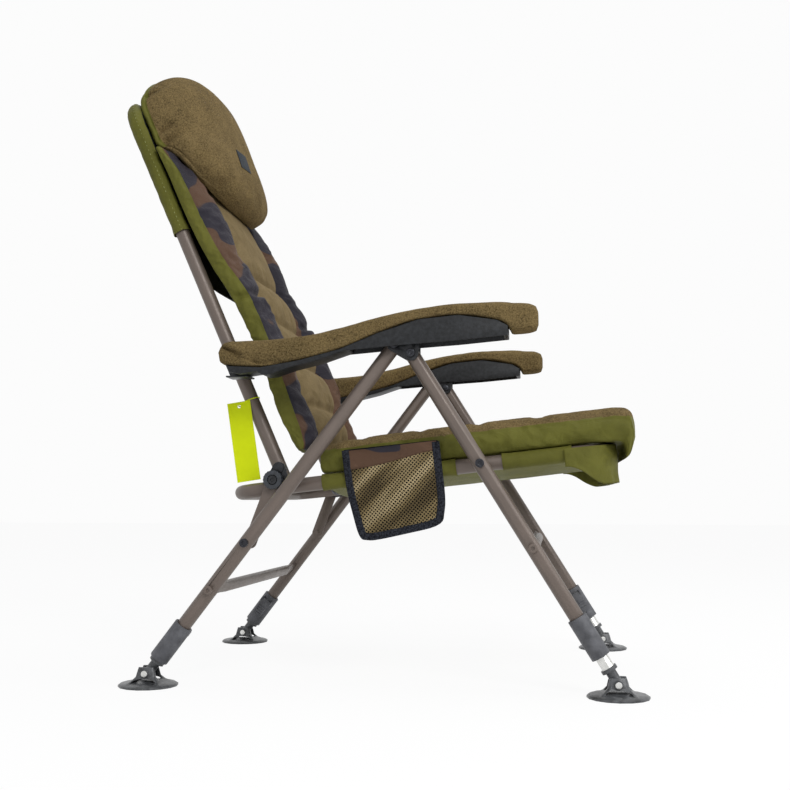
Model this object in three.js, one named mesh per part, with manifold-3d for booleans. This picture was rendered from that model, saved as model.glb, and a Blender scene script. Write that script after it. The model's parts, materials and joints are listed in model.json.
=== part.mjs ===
// Folding carp fishing chair: tube frame, sprung cloth, padded seat, back and armrests, mud feet.
// Millimetres. X points forward, Y to the sitter's left, Z up.
import * as THREE from 'three';
import { mergeVertices } from 'three/addons/utils/BufferGeometryUtils.js';
import Module from 'manifold-3d';

const wasm = await Module();
wasm.setup();

const degrees = Math.PI / 180;

// Fits
const touchGap = 0.3;
const runningGap = 0.3;
const cutOverrun = 5;
const originShift = 24.6;

// Side geometry: where the pivots stand, X from midway between the feet and Z from the floor
const frontFootReach = 392;
const rearFootReach = 388;
const footPinHeight = 22;
const armPivotForward = 62.5;
const armPivotHeight = 556.3;
const rearLegPivotBack = 28.3;
const rearLegPivotRise = 15.7;
const seatPivotDrop = 216.1;
const seatSlope = 6.3;
const backPivotSpan = 344.5;
const backLean = 23.61;
const armRearPivotAlong = 237.1;
const stayPinAlong = 275.5;
const knobBack = 14;
const knobRise = 12;

// Frame tubes
const tubeDiameter = 25;
const tubeWall = 1.5;
const tubeFacets = 16;
const boreFacets = 8;
const seatTubeHalfSpan = 243;
const tubeSideGap = 1.5;
const legSpacerLength = 21;
const seatFrontReach = 556;
const seatRearReach = 89;
const seatFrontBend = 60;
const seatRearBend = 52;
const backFrameHeight = 776;
const backTopBend = 55;
const bendSteps = 4;

// Stretchers between the legs
const stretcherDiameter = 20;
const stretcherFlat = 7;
const stretcherFlatLength = 30;
const stretcherTaper = 34;
const rearStretcherAlong = 176;
const frontStretcherAlong = 250;

// Telescopic legs
const innerLegDiameter = 21;
const innerLegWall = 1.6;
const innerLegLength = 138;
const frontLegOut = 20;
const collarDiameter = 27;
const collarLength = 6;
const neckDiameter = 17;
const neckLength = 23;
const eyeRadius = 8.5;
const eyeWidth = 17;
const sleeveDiameter = 33;
const sleeveLength = 71;
const sleeveLip = 6;
const sleeveFacets = 18;

// Lock levers on the sleeves
const leverLength = 42;
const leverWidth = 19;
const leverThickness = 5;
const leverRibs = 4;
const leverRibHeight = 1.2;
const leverPinRadius = 2.5;
const leverPinAlong = 58;
const leverEarThickness = 3;
const leverStandOff = 1.2;

// Mud feet
const footDiameter = 100;
const footRim = 5;
const footDome = 9;
const footHubHalf = 13.5;
const footHubTop = 32;
const footBossHalf = 18.8;
const footBossRadius = 7;
const footSkirtHalf = 35;
const footShell = 3.2;
const footFacets = 16;
const footPinRadius = 3;
const footPinHeadRadius = 5.5;
const footPinHeadHeight = 2.5;

// Bolts
const boltRadius = 4;
const boltHeadRadius = 7.5;
const boltHeadHeight = 5;
const nutHeight = 3.5;
const socketRadius = 3.6;
const socketDepth = 2.8;
const boltFacets = 12;
const shankFacets = 8;
const spacerRadius = 9;

// Hinge plates, stays and clamp knobs at the back pivots
const hingePlateThickness = 2.5;
const thinHeadHeight = 3;
const bossForward = -7;
const bossRise = 32.2;
const bossRadius = 9;
const rivetBack = 13;
const rivetDrop = 7.8;
const rivetHeadRadius = 5;
const rivetHeadHeight = 1.8;
const plateHubRadius = 15;
const plateKnobRadius = 14;
const plateBossRadius = 11;
const plateRivetRadius = 9;
const stayThickness = 3;
const stayEndRadius = 11;
const knobRadius = 16.5;
const knobThickness = 9.5;
const knobFlutes = 18;
const knobFluteDepth = 0.8;
const knobRecessRadius = 9;
const knobRecessDepth = 4.5;
const knobStudRadius = 5;

// Armrests
const armFrontReach = 211.5;
const armRearOverhang = 4.55;
const armRise = 115;
const armKeelDrop = 35.3;
const armHalfWidth = 31;
const armCrown = 4;
const armShellHalfWidth = 28;
const armShellWall = 3;
const armOutset = 5;
const bracketGap = 0.6;
const bracketThickness = 2.5;
const bracketLobe = 13;
const lugThickness = 2.5;
const lugRadius = 9;
const lugFlangeThickness = 2.6;
const lugFlangeLength = 44;
const lugFlangeWidth = 38;
const armBossRadius = 8;

// Cloth and padding
const clothThickness = 1.3;
const slingStart = 69;
const slingGapBack = 43.5;
const slingGapAhead = 34.5;
const slingEndBack = 26;
const slingBoltNotch = 9;
const slingFrontTaper = 18;
const slingSag = 24;
const slingThickness = 2.5;
const seatCushionRear = 64;
const seatCushionOverFront = 51;
const seatCushionOverhang = 9;
const seatCushionThickness = 54;
const seatCushionCrown = 8;
const seatSeamPitch = 103;
const seatSeamDepth = 4;
const valanceSideLength = 74;
const valanceDrop = 40;
const valanceWave = 5;
const valanceWaves = 5;
const valanceHem = 5;
const valanceTuck = 6;
const sleeveStart = 505;
const backPanelStart = 402;
const backPanelThickness = 3;
const backPanelGap = 1.2;
const backCushionStart = 45;
const backCushionLength = 627;
const backCushionOverhang = 23.5;
const backCushionDepth = 90;
const backSeamPitch = 91.5;
const backSeamDepth = 9;
const pillowStart = 556;
const pillowLength = 284;
const pillowOverhang = 1.5;
const pillowDepth = 150;

// Side pocket on the sitter's right
const pocketStart = 110;
const pocketWidth = 168;
const pocketTop = 52;
const pocketDepth = 160;
const pocketHem = 13;
const pocketBand = 20;
const pocketThickness = 2.4;
const pocketMesh = 18;
const pocketStrand = 2.6;
const pocketStandOff = 0.8;

// Blank card tag on its loop, hung from the right back tube
const tagWidth = 42;
const tagLength = 141;
const tagThickness = 0.8;
const tagHangAlong = 168;
const tagTilt = 8.6;
const tagHole = 3;
const tagHoleDrop = 8;
const tagLoopRadius = 20;
const tagLoopWire = 0.9;

// Sizes that follow
const tubeRadius = tubeDiameter / 2;
const sleeveClothRadius = tubeRadius + clothThickness;
const backTubeHalfSpan = seatTubeHalfSpan - tubeDiameter - tubeSideGap;
const plateInner = seatTubeHalfSpan + tubeRadius + touchGap;
const plateOuter = plateInner + hingePlateThickness;
const stayInner = plateOuter + touchGap + thinHeadHeight + touchGap;
const stayOuter = stayInner + stayThickness;
const knobInner = stayOuter + touchGap;
const legHalfSpan = seatTubeHalfSpan + tubeDiameter + legSpacerLength;
const armHalfSpan = legHalfSpan + armOutset;
const slingGapStart = backPivotSpan - slingGapBack;
const slingGapEnd = backPivotSpan + slingGapAhead;
const slingEnd = seatFrontReach - slingEndBack;
const valanceStart = seatFrontReach - valanceSideLength;
const seatCushionLength = seatFrontReach + seatCushionOverFront - seatCushionRear;
const seatCushionHalfWidth = seatTubeHalfSpan + seatCushionOverhang;
const backCushionHalfWidth = backTubeHalfSpan + backCushionOverhang;
const pillowHalfWidth = backTubeHalfSpan + pillowOverhang;

const slope = seatSlope * degrees;
const lean = backLean * degrees;
const frontPin = { x: frontFootReach, z: footPinHeight };
const rearPin = { x: -rearFootReach, z: footPinHeight };
const armPivot = { x: armPivotForward, z: armPivotHeight };
const rearLegPivot = { x: armPivot.x - rearLegPivotBack, z: armPivot.z + rearLegPivotRise };
const frontLegAngle = Math.atan2(armPivot.x - frontPin.x, armPivot.z - frontPin.z);
const rearLegAngle = Math.atan2(rearLegPivot.x - rearPin.x, rearLegPivot.z - rearPin.z);
const frontLegSpan = Math.hypot(armPivot.x - frontPin.x, armPivot.z - frontPin.z);
const rearLegSpan = Math.hypot(rearLegPivot.x - rearPin.x, rearLegPivot.z - rearPin.z);
const seatPivot = {
  x: armPivot.x - seatPivotDrop * Math.sin(frontLegAngle),
  z: armPivot.z - seatPivotDrop * Math.cos(frontLegAngle),
};
const backPivot = {
  x: seatPivot.x - backPivotSpan * Math.cos(slope),
  z: seatPivot.z - backPivotSpan * Math.sin(slope),
};
const knobPivot = { x: backPivot.x - knobBack, z: backPivot.z + knobRise };
const stayPin = {
  x: rearPin.x + stayPinAlong * Math.sin(rearLegAngle),
  z: rearPin.z + stayPinAlong * Math.cos(rearLegAngle),
};

const sides = [{ name: 'right', sign: -1 }, { name: 'left', sign: 1 }];

// Points of the seat plane (forward, up) and of the back plane (along, forward), from the back pivot
function seatPoint(forward, up, y) {
  return new THREE.Vector3(
    backPivot.x + forward * Math.cos(slope) - up * Math.sin(slope),
    y,
    backPivot.z + forward * Math.sin(slope) + up * Math.cos(slope),
  );
}

function backPoint(along, forward, y) {
  return new THREE.Vector3(
    backPivot.x - along * Math.sin(lean) + forward * Math.cos(lean),
    y,
    backPivot.z + along * Math.cos(lean) + forward * Math.sin(lean),
  );
}

const armRearPivot = backPoint(armRearPivotAlong, 0, 0);
const armRear = armRearPivot.x - armRearOverhang;
const armLength = armPivot.x + armFrontReach - armRear;
const armKeelHeight = armPivot.z - armKeelDrop;

// Solids
function toSolid(geometry) {
  const bare = geometry.clone();
  bare.deleteAttribute('normal');
  bare.deleteAttribute('uv');
  const merged = mergeVertices(bare, 1e-4);
  return new wasm.Manifold(new wasm.Mesh({
    numProp: 3,
    vertProperties: new Float32Array(merged.attributes.position.array),
    triVerts: new Uint32Array(merged.index.array),
  }));
}

function toGeometry(solid) {
  const mesh = solid.getMesh();
  const geometry = new THREE.BufferGeometry();
  geometry.setAttribute('position', new THREE.BufferAttribute(new Float32Array(mesh.vertProperties), 3));
  geometry.setIndex(new THREE.BufferAttribute(new Uint32Array(mesh.triVerts), 1));
  return geometry;
}

function cut(geometry, ...tools) {
  return toGeometry(tools.reduce((solid, tool) => solid.subtract(toSolid(tool)), toSolid(geometry)));
}

function join(first, ...others) {
  return toGeometry(others.reduce((solid, other) => solid.add(toSolid(other)), toSolid(first)));
}

// A skin over rings of points, closed by a fan at each end or run round into a loop
function loft(rings, loop = false) {
  const count = rings[0].length;
  const points = rings.flat();
  const index = [];
  const spans = loop ? rings.length : rings.length - 1;
  for (let i = 0; i < spans; i++) {
    const a = i * count;
    const b = ((i + 1) % rings.length) * count;
    for (let j = 0; j < count; j++) {
      const k = (j + 1) % count;
      index.push(a + j, a + k, b + k, a + j, b + k, b + j);
    }
  }
  if (!loop) {
    const ends = [rings[0], rings[rings.length - 1]];
    ends.forEach((ring, end) => {
      const centre = ring.reduce((sum, p) => sum.add(p), new THREE.Vector3()).divideScalar(count);
      const start = end * (rings.length - 1) * count;
      points.push(centre);
      for (let j = 0; j < count; j++) {
        const k = (j + 1) % count;
        index.push(points.length - 1, start + (end ? j : k), start + (end ? k : j));
      }
    });
  }
  const geometry = new THREE.BufferGeometry().setFromPoints(points);
  geometry.setIndex(index);
  return volumeOf(geometry) < 0 ? flipped(geometry) : geometry;
}

function volumeOf(geometry) {
  const p = geometry.attributes.position;
  const corner = [0, 1, 2].map(() => new THREE.Vector3());
  let volume = 0;
  for (let i = 0; i < geometry.index.count; i += 3) {
    corner.forEach((v, j) => v.fromBufferAttribute(p, geometry.index.getX(i + j)));
    volume += corner[0].dot(corner[1].cross(corner[2]));
  }
  return volume;
}

function flipped(geometry) {
  const index = Array.from(geometry.index.array);
  for (let i = 0; i < index.length; i += 3) {
    [index[i], index[i + 1]] = [index[i + 1], index[i]];
  }
  geometry.setIndex(index);
  return geometry;
}

// A path through corners, each rounded by its bend, as points with directions
function roundedPath(corners, bends, loop = false) {
  const path = [];
  const place = (point, along) => path.push({ point, along });
  corners.forEach((corner, i) => {
    const before = corners[(i + corners.length - 1) % corners.length];
    const after = corners[(i + 1) % corners.length];
    const arrive = corner.clone().sub(before).normalize();
    const leave = after.clone().sub(corner).normalize();
    if (!loop && i === 0) return place(corner, leave);
    if (!loop && i === corners.length - 1) return place(corner, arrive);
    const turn = arrive.angleTo(leave);
    const inward = leave.clone().addScaledVector(arrive, -Math.cos(turn)).normalize();
    const start = corner.clone().addScaledVector(arrive, -bends[i] * Math.tan(turn / 2));
    const centre = start.addScaledVector(inward, bends[i]);
    for (let step = 0; step <= bendSteps; step++) {
      const angle = turn * step / bendSteps;
      place(
        centre.clone().addScaledVector(inward, -bends[i] * Math.cos(angle))
          .addScaledVector(arrive, bends[i] * Math.sin(angle)),
        arrive.clone().multiplyScalar(Math.cos(angle)).addScaledVector(inward, Math.sin(angle)),
      );
    }
  });
  return path;
}

// A round bar of any radius along a flat path
function bar(path, radius, planeNormal, facets, loop = false) {
  return loft(path.map(({ point, along }) => {
    const across = along.clone().cross(planeNormal);
    return Array.from({ length: facets }, (_, i) => {
      const angle = 2 * Math.PI * i / facets;
      return point.clone().addScaledVector(planeNormal, radius * Math.cos(angle))
        .addScaledVector(across, radius * Math.sin(angle));
    });
  }), loop);
}

// Turned pieces stand along local Z, [radius, height] from the lower end
function turned(profile, facets) {
  const points = profile.map(([radius, height]) => new THREE.Vector2(radius, height));
  return new THREE.LatheGeometry(points, facets).rotateX(Math.PI / 2);
}

// A pin along Y between two heights of Y, at a point of the side view
function pinAcross(at, radius, from, to, facets = boltFacets) {
  return new THREE.CylinderGeometry(radius, radius, Math.abs(to - from), facets)
    .translate(at.x, (from + to) / 2, at.z);
}

// A plate drawn in the side view and given its thickness between two heights of Y
function plateAcross(shape, from, to, curveSegments = 10) {
  const depth = Math.abs(to - from);
  return new THREE.ExtrudeGeometry(shape, { depth, bevelEnabled: false, curveSegments })
    .rotateX(Math.PI / 2).translate(0, Math.max(from, to), 0);
}

function shapeOf(points) {
  return new THREE.Shape(points.map(({ x, z }) => new THREE.Vector2(x, z)));
}

// The outline that a belt takes round discs, the discs being given in order
function beltShape(discs, steps) {
  const points = [];
  discs.forEach((disc) => {
    for (let i = 0; i < steps; i++) {
      const angle = 2 * Math.PI * i / steps;
      points.push({ x: disc.x + disc.r * Math.cos(angle), z: disc.z + disc.r * Math.sin(angle) });
    }
  });
  points.sort((a, b) => a.x - b.x || a.z - b.z);
  const turnOf = (o, a, b) => (a.x - o.x) * (b.z - o.z) - (a.z - o.z) * (b.x - o.x);
  const half = (list) => {
    const hull = [];
    list.forEach((p) => {
      while (hull.length > 1 && turnOf(hull[hull.length - 2], hull[hull.length - 1], p) <= 0) hull.pop();
      hull.push(p);
    });
    return hull.slice(0, -1);
  };
  return shapeOf([...half(points), ...half(points.reverse())]);
}

// A socket-head bolt on its head's side of the chair: shank from y1 out to y2, head beyond y2
function bolt(at, sign, inner, outer, nut = true) {
  const shank = pinAcross(at, boltRadius, sign * inner, sign * (outer + touchGap / 2), shankFacets);
  const head = pinAcross(at, boltHeadRadius, sign * outer, sign * (outer + boltHeadHeight));
  const socket = pinAcross(
    at, socketRadius, sign * (outer + boltHeadHeight - socketDepth),
    sign * (outer + boltHeadHeight + cutOverrun), 6,
  );
  const pieces = nut
    ? [shank, pinAcross(at, boltHeadRadius, sign * inner, sign * (inner - nutHeight), 6)]
    : [shank];
  return cut(join(head, ...pieces), socket);
}

const finish = {
  tube: { color: 0x8d8279, roughness: 0.45, metalness: 0.6 },
  plate: { color: 0x2b2c2e, roughness: 0.5, metalness: 0.5 },
  plastic: { color: 0x3b3c3f, roughness: 0.6, metalness: 0 },
  bolt: { color: 0x1f2023, roughness: 0.35, metalness: 0.8 },
  bright: { color: 0xd6d6d2, roughness: 0.3, metalness: 0.9 },
  olive: { color: 0x77803a, roughness: 0.8, metalness: 0 },
  fleece: { color: 0x6b5a3a, roughness: 1, metalness: 0 },
  suede: { color: 0x9a8759, roughness: 0.95, metalness: 0 },
  black: { color: 0x1c1d1c, roughness: 0.85, metalness: 0 },
  mesh: { color: 0x8a7b56, roughness: 0.9, metalness: 0 },
  tag: { color: 0xd4e01f, roughness: 0.4, metalness: 0 },
};

const chair = new THREE.Group();
chair.position.x = originShift;

function add(name, geometry, look, parent = chair) {
  const mesh = new THREE.Mesh(geometry, new THREE.MeshStandardMaterial(finish[look]));
  mesh.name = name;
  parent.add(mesh);
}

const acrossSeat = new THREE.Vector3(-Math.sin(slope), 0, Math.cos(slope));
const acrossBack = new THREE.Vector3(Math.cos(lean), 0, Math.sin(lean));
const hole = (at, sign, from, to, radius = boltRadius) => pinAcross(
  at, (radius + runningGap) / Math.cos(Math.PI / shankFacets), sign * from, sign * to, shankFacets,
);

// Seat frame: one tube bent into a ring, drilled for the back and leg bolts
{
  const corners = [
    seatPoint(-seatRearReach, 0, -seatTubeHalfSpan), seatPoint(seatFrontReach, 0, -seatTubeHalfSpan),
    seatPoint(seatFrontReach, 0, seatTubeHalfSpan), seatPoint(-seatRearReach, 0, seatTubeHalfSpan),
  ];
  const path = roundedPath(corners, [seatRearBend, seatFrontBend, seatFrontBend, seatRearBend], true);
  const inner = seatTubeHalfSpan - tubeDiameter;
  const outer = seatTubeHalfSpan + tubeDiameter;
  const holes = sides.flatMap(({ sign }) => [
    hole(backPivot, sign, inner, outer), hole(seatPivot, sign, inner, outer),
  ]);
  add('seat_frame', cut(
    bar(path, tubeRadius, acrossSeat, tubeFacets, true),
    bar(path, tubeRadius - tubeWall, acrossSeat, boreFacets, true),
    ...holes,
  ), 'tube');
}

// Back frame: a hoop that stands on the two back pivots, with bosses for the armrests' rear pivots
const backPath = roundedPath([
  backPoint(0, 0, -backTubeHalfSpan), backPoint(backFrameHeight, 0, -backTubeHalfSpan),
  backPoint(backFrameHeight, 0, backTubeHalfSpan), backPoint(0, 0, backTubeHalfSpan),
], [0, backTopBend, backTopBend, 0]);
{
  const inner = backTubeHalfSpan - tubeDiameter;
  const outer = backTubeHalfSpan + tubeDiameter;
  const ends = sides.map(({ sign }) => new THREE.SphereGeometry(tubeRadius, tubeFacets, 6)
    .rotateX(Math.PI / 2).translate(backPivot.x, sign * backTubeHalfSpan, backPivot.z));
  const holes = sides.map(({ sign }) => hole(backPivot, sign, inner, outer));
  const bore = backPath.map(({ point, along }, i) => ({
    point: i === 0 || i === backPath.length - 1
      ? point.clone().addScaledVector(along, (i ? -1 : 1) * tubeWall) : point,
    along,
  }));
  const face = armHalfSpan - armHalfWidth - touchGap - lugThickness - touchGap;
  const bosses = sides.flatMap(({ sign }) => [
    pinAcross(armRearPivot, boltHeadRadius, sign * (inner + tubeDiameter / 2 - boltHeadHeight), sign * backTubeHalfSpan, 6),
    pinAcross(armRearPivot, armBossRadius, sign * backTubeHalfSpan, sign * face),
  ]);
  add('back_frame', join(cut(
    join(bar(backPath, tubeRadius, acrossBack, tubeFacets), ...ends),
    bar(bore, tubeRadius - tubeWall, acrossBack, boreFacets),
    ...holes,
  ), ...bosses), 'tube');
}

// Hinge plates: the stud that each clamp knob turns on, the stop boss and a rivet are fixed in them
const bossAt = { x: backPivot.x + bossForward, z: backPivot.z + bossRise };
const rivetAt = { x: backPivot.x - rivetBack, z: backPivot.z - rivetDrop };
{
  const outline = beltShape([
    { ...backPivot, r: plateHubRadius }, { ...knobPivot, r: plateKnobRadius },
    { ...bossAt, r: plateBossRadius }, { ...rivetAt, r: plateRivetRadius },
  ], 24);
  const headInner = knobInner + knobThickness - knobRecessDepth + touchGap;
  const bossOuter = plateOuter + touchGap + thinHeadHeight;
  const backInner = backTubeHalfSpan - tubeRadius - touchGap;
  const bossInner = backTubeHalfSpan + tubeRadius + touchGap;
  sides.forEach(({ name, sign }) => {
    const across = (at, radius, from, to, facets) => pinAcross(at, radius, sign * from, sign * to, facets);
    add(`hinge_plate_${name}`, cut(
      join(
        plateAcross(outline, sign * plateInner, sign * plateOuter),
        across(bossAt, bossRadius, bossInner, bossOuter),
        across(rivetAt, rivetHeadRadius, plateInner, plateOuter + rivetHeadHeight),
        across(knobPivot, knobStudRadius, plateInner, headInner),
        across(knobPivot, boltHeadRadius, headInner, headInner + thinHeadHeight),
      ),
      hole(backPivot, sign, plateInner - cutOverrun, plateOuter + cutOverrun),
      across(knobPivot, socketRadius, headInner + touchGap, headInner + cutOverrun, 6),
    ), 'plate');
    add(`pivot_bolt_${name}`, join(
      across(backPivot, boltRadius, backInner - boltHeadHeight, bossOuter, shankFacets),
      across(backPivot, boltHeadRadius, backInner - boltHeadHeight, backInner, 6),
      across(backPivot, boltHeadRadius, plateOuter + touchGap, bossOuter),
    ), 'bolt');
  });
}

// Stays from the hinge plates down to the rear legs, and the clamp knobs over them
sides.forEach(({ name, sign }) => {
  const blade = beltShape([{ ...knobPivot, r: stayEndRadius }, { ...stayPin, r: stayEndRadius }], 24);
  add(`stay_${name}`, join(
    cut(
      plateAcross(blade, sign * stayInner, sign * stayOuter),
      pinAcross(knobPivot, knobStudRadius + runningGap, sign * (stayInner - cutOverrun), sign * (stayOuter + cutOverrun)),
    ),
    pinAcross(stayPin, rivetHeadRadius, sign * (stayInner - rivetHeadHeight), sign * (stayInner + touchGap)),
  ), 'plate');

  const rim = Array.from({ length: knobFlutes * 2 }, (_, i) => {
    const angle = Math.PI * i / knobFlutes;
    const radius = knobRadius - (i % 2) * knobFluteDepth;
    return { x: knobPivot.x + radius * Math.cos(angle), z: knobPivot.z + radius * Math.sin(angle) };
  });
  const knobOuter = knobInner + knobThickness;
  add(`clamp_knob_${name}`, cut(
    plateAcross(shapeOf(rim), sign * knobInner, sign * knobOuter),
    pinAcross(knobPivot, knobRecessRadius, sign * (knobOuter - knobRecessDepth), sign * (knobOuter + cutOverrun), 24),
    pinAcross(knobPivot, knobStudRadius + runningGap, sign * (knobInner - cutOverrun), sign * knobOuter),
  ), 'plastic');
});

// One leg in its own frame: local Z runs from the foot pin up the leg, local Y stays across the chair
function legFrame(pin, angle, y) {
  const frame = new THREE.Group();
  frame.position.set(pin.x, y, pin.z);
  frame.rotation.y = angle;
  chair.add(frame);
  return frame;
}

function outerLeg(span, lower, boltHeights) {
  const dome = Array.from({ length: 4 }, (_, i) => {
    const angle = 90 * i / 3 * degrees;
    return [tubeRadius * Math.cos(angle), span + tubeRadius * Math.sin(angle)];
  });
  dome[dome.length - 1][0] = 0;
  const boreRadius = tubeRadius - tubeWall;
  const tube = turned([[0, span - tubeWall], [boreRadius, span - tubeWall], [boreRadius, lower],
    [tubeRadius, lower], ...dome], tubeFacets);
  return cut(tube, ...boltHeights.map((z) => hole({ x: 0, z }, 1, -tubeDiameter, tubeDiameter)));
}

// The sleeve grips the outer tube, its lip guides the inner one, and two ears carry the lever
function lockSleeve(lower, inward) {
  const outer = sleeveDiameter / 2;
  const lip = lower + sleeveLip;
  const slip = innerLegDiameter / 2 + runningGap;
  const body = turned([
    [slip, lower], [outer, lower], [outer, lower + sleeveLength], [tubeRadius + touchGap, lower + sleeveLength],
    [tubeRadius + touchGap, lip], [slip, lip], [slip, lower],
  ], sleeveFacets);
  const reach = outer + leverStandOff + leverThickness + leverRibHeight;
  const ears = [-1, 1].map((end) => {
    const depth = reach - tubeRadius + 2 * tubeWall;
    const earX = end * (leverWidth / 2 + touchGap + leverEarThickness / 2);
    return new THREE.BoxGeometry(leverEarThickness, depth, 4 * leverPinRadius)
      .translate(earX, inward * (reach - depth / 2), lower + leverPinAlong);
  });
  return join(body, ...ears);
}

function lockLever(lower, inward) {
  const outer = sleeveDiameter / 2;
  const pinZ = lower + leverPinAlong;
  const inner = outer + leverStandOff;
  const paddle = new THREE.Shape();
  const halfWidth = leverWidth / 2;
  const foot = pinZ - leverLength + halfWidth;
  paddle.moveTo(-halfWidth, pinZ + leverPinRadius);
  paddle.lineTo(-halfWidth, foot);
  paddle.absarc(0, foot, halfWidth, Math.PI, 2 * Math.PI, false);
  paddle.lineTo(halfWidth, pinZ + leverPinRadius);
  const plate = plateAcross(paddle, inward * inner, inward * (inner + leverThickness), 8);
  const pitch = (leverLength - halfWidth) / (leverRibs + 2);
  const ribs = Array.from({ length: leverRibs }, (_, i) => new THREE.BoxGeometry(
    leverWidth - 2 * leverRibHeight, 2 * leverRibHeight, pitch / 2,
  ).translate(0, inward * (inner + leverThickness), foot + pitch * i));
  return join(plate, ...ribs);
}

// The inner leg carries a stop collar, a neck and the eye that the foot pin runs through
function innerLeg() {
  const radius = innerLegDiameter / 2;
  const bore = radius - innerLegWall;
  const tubeStart = neckLength + collarLength;
  const top = tubeStart + innerLegLength;
  const stem = turned([
    [0, 0], [neckDiameter / 2, 0], [neckDiameter / 2, neckLength], [collarDiameter / 2, neckLength],
    [collarDiameter / 2, tubeStart], [radius, tubeStart], [radius, top], [bore, top], [bore, tubeStart], [0, tubeStart],
  ], tubeFacets);
  const eye = pinAcross({ x: 0, z: 0 }, eyeRadius, -eyeWidth / 2, eyeWidth / 2);
  const pinHole = hole({ x: 0, z: 0 }, 1, -tubeRadius, tubeRadius, footPinRadius);
  return cut(join(stem, eye), pinHole);
}

// Mud foot: a domed disc under a four-cornered tent that is open fore and aft for the leg's swing
function mudFoot() {
  const rim = footDiameter / 2;
  const disc = turned([
    [0, 0], [rim, 0], [rim, footRim * 0.6], [rim * 0.93, footRim], [rim * 0.5, footDome * 0.8],
    [rim * 0.25, footDome], [0, footDome],
  ], footFacets);
  const ring = (half, height, corner) => {
    const points = [];
    for (let quarter = 0; quarter < 4; quarter++) {
      for (let step = 0; step < 3; step++) {
        const angle = (quarter + step / 2) * Math.PI / 2;
        const turn = (quarter + 0.5) * Math.PI / 2;
        const reach = (half - corner) * Math.SQRT2;
        points.push(new THREE.Vector3(
          reach * Math.cos(turn) + corner * Math.cos(angle), reach * Math.sin(turn) + corner * Math.sin(angle), height,
        ));
      }
    }
    return points;
  };
  const tentShares = [[0, 1], [0.22, 0.68], [0.46, 0.5], [1, 0.4]];
  const base = footRim * 0.6;
  const tent = (shrink, low, high) => loft(tentShares.map(([up, wide]) => ring(
    Math.max(footSkirtHalf * wide, footHubHalf) - shrink, low + (high - low) * up, 5,
  )));
  const shell = cut(tent(0, base, footHubTop), tent(footShell, base - 1, footHubTop - footShell));
  const pinZ = footPinHeight;
  const swing = new THREE.Shape();
  const clear = eyeRadius + 2;
  swing.moveTo(-rim, pinZ + rim);
  swing.lineTo(-rim, pinZ);
  swing.lineTo(-footSkirtHalf, footDome + 2);
  swing.lineTo(footSkirtHalf, footDome + 2);
  swing.lineTo(rim, pinZ);
  swing.lineTo(rim, pinZ + rim);
  const slot = plateAcross(swing, -clear, clear);
  const arch = new THREE.Shape();
  arch.absellipse(0, footDome - 2, footSkirtHalf * 0.62, 7, 0, 2 * Math.PI, false);
  const archHole = plateAcross(arch, -rim, rim, 8);
  const pinHole = hole({ x: 0, z: pinZ }, 1, -rim, rim, footPinRadius);
  const boss = pinAcross({ x: 0, z: pinZ }, footBossRadius, -footBossHalf, footBossHalf);
  return cut(join(disc, cut(shell, archHole), boss), slot, pinHole);
}

function footPin() {
  const half = footBossHalf + touchGap;
  const at = { x: 0, z: footPinHeight };
  return join(
    pinAcross(at, footPinRadius, -half - footPinHeadHeight, half + footPinHeadHeight, shankFacets),
    pinAcross(at, footPinHeadRadius, -half - footPinHeadHeight, -half),
    pinAcross(at, footPinHeadRadius, half, half + footPinHeadHeight),
  );
}

// Stud across the rear leg at the stay's pin, with a hexagon head outside
function stayStud(height, sign) {
  const at = { x: 0, z: height };
  const inner = stayOuter + touchGap - legHalfSpan;
  const outer = tubeRadius + boltHeadHeight;
  return cut(
    join(
      pinAcross(at, boltRadius, sign * inner, sign * outer, shankFacets),
      pinAcross(at, boltHeadRadius, sign * inner, -sign * tubeRadius * 0.9),
      pinAcross(at, boltHeadRadius, sign * tubeRadius * 0.9, sign * outer),
    ),
    pinAcross(at, socketRadius, sign * (outer - socketDepth), sign * (outer + cutOverrun), 6),
  );
}

const footGeometry = mudFoot();
const footPinGeometry = footPin();
const innerLegGeometry = innerLeg();
const legs = [
  { end: 'front', pin: frontPin, angle: frontLegAngle, span: frontLegSpan, out: frontLegOut,
    holes: [frontLegSpan, frontLegSpan - seatPivotDrop, frontStretcherAlong], stud: 0 },
  { end: 'rear', pin: rearPin, angle: rearLegAngle, span: rearLegSpan, out: 0,
    holes: [rearLegSpan, rearStretcherAlong], stud: stayPinAlong },
];
legs.forEach((leg) => sides.forEach(({ name, sign }) => {
  const frame = legFrame(leg.pin, leg.angle, sign * legHalfSpan);
  const lower = neckLength + collarLength + touchGap + leg.out;
  const tag = `${leg.end}_${name}`;
  const tube = outerLeg(leg.span, lower + sleeveLip + touchGap, leg.holes);
  add(`leg_${tag}`, leg.stud ? join(tube, stayStud(leg.stud, sign)) : tube, 'tube', frame);
  add(`lock_sleeve_${tag}`, lockSleeve(lower, -sign), 'plastic', frame);
  add(`lock_lever_${tag}`, lockLever(lower, -sign), 'plastic', frame);
  add(`inner_leg_${tag}`, innerLegGeometry.clone(), 'bright', frame);
  const foot = new THREE.Group();
  foot.position.set(leg.pin.x, sign * legHalfSpan, 0);
  chair.add(foot);
  add(`mud_foot_${tag}`, footGeometry.clone(), 'plastic', foot);
  add(`foot_pin_${tag}`, footPinGeometry.clone(), 'bright', foot);
}));

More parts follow.
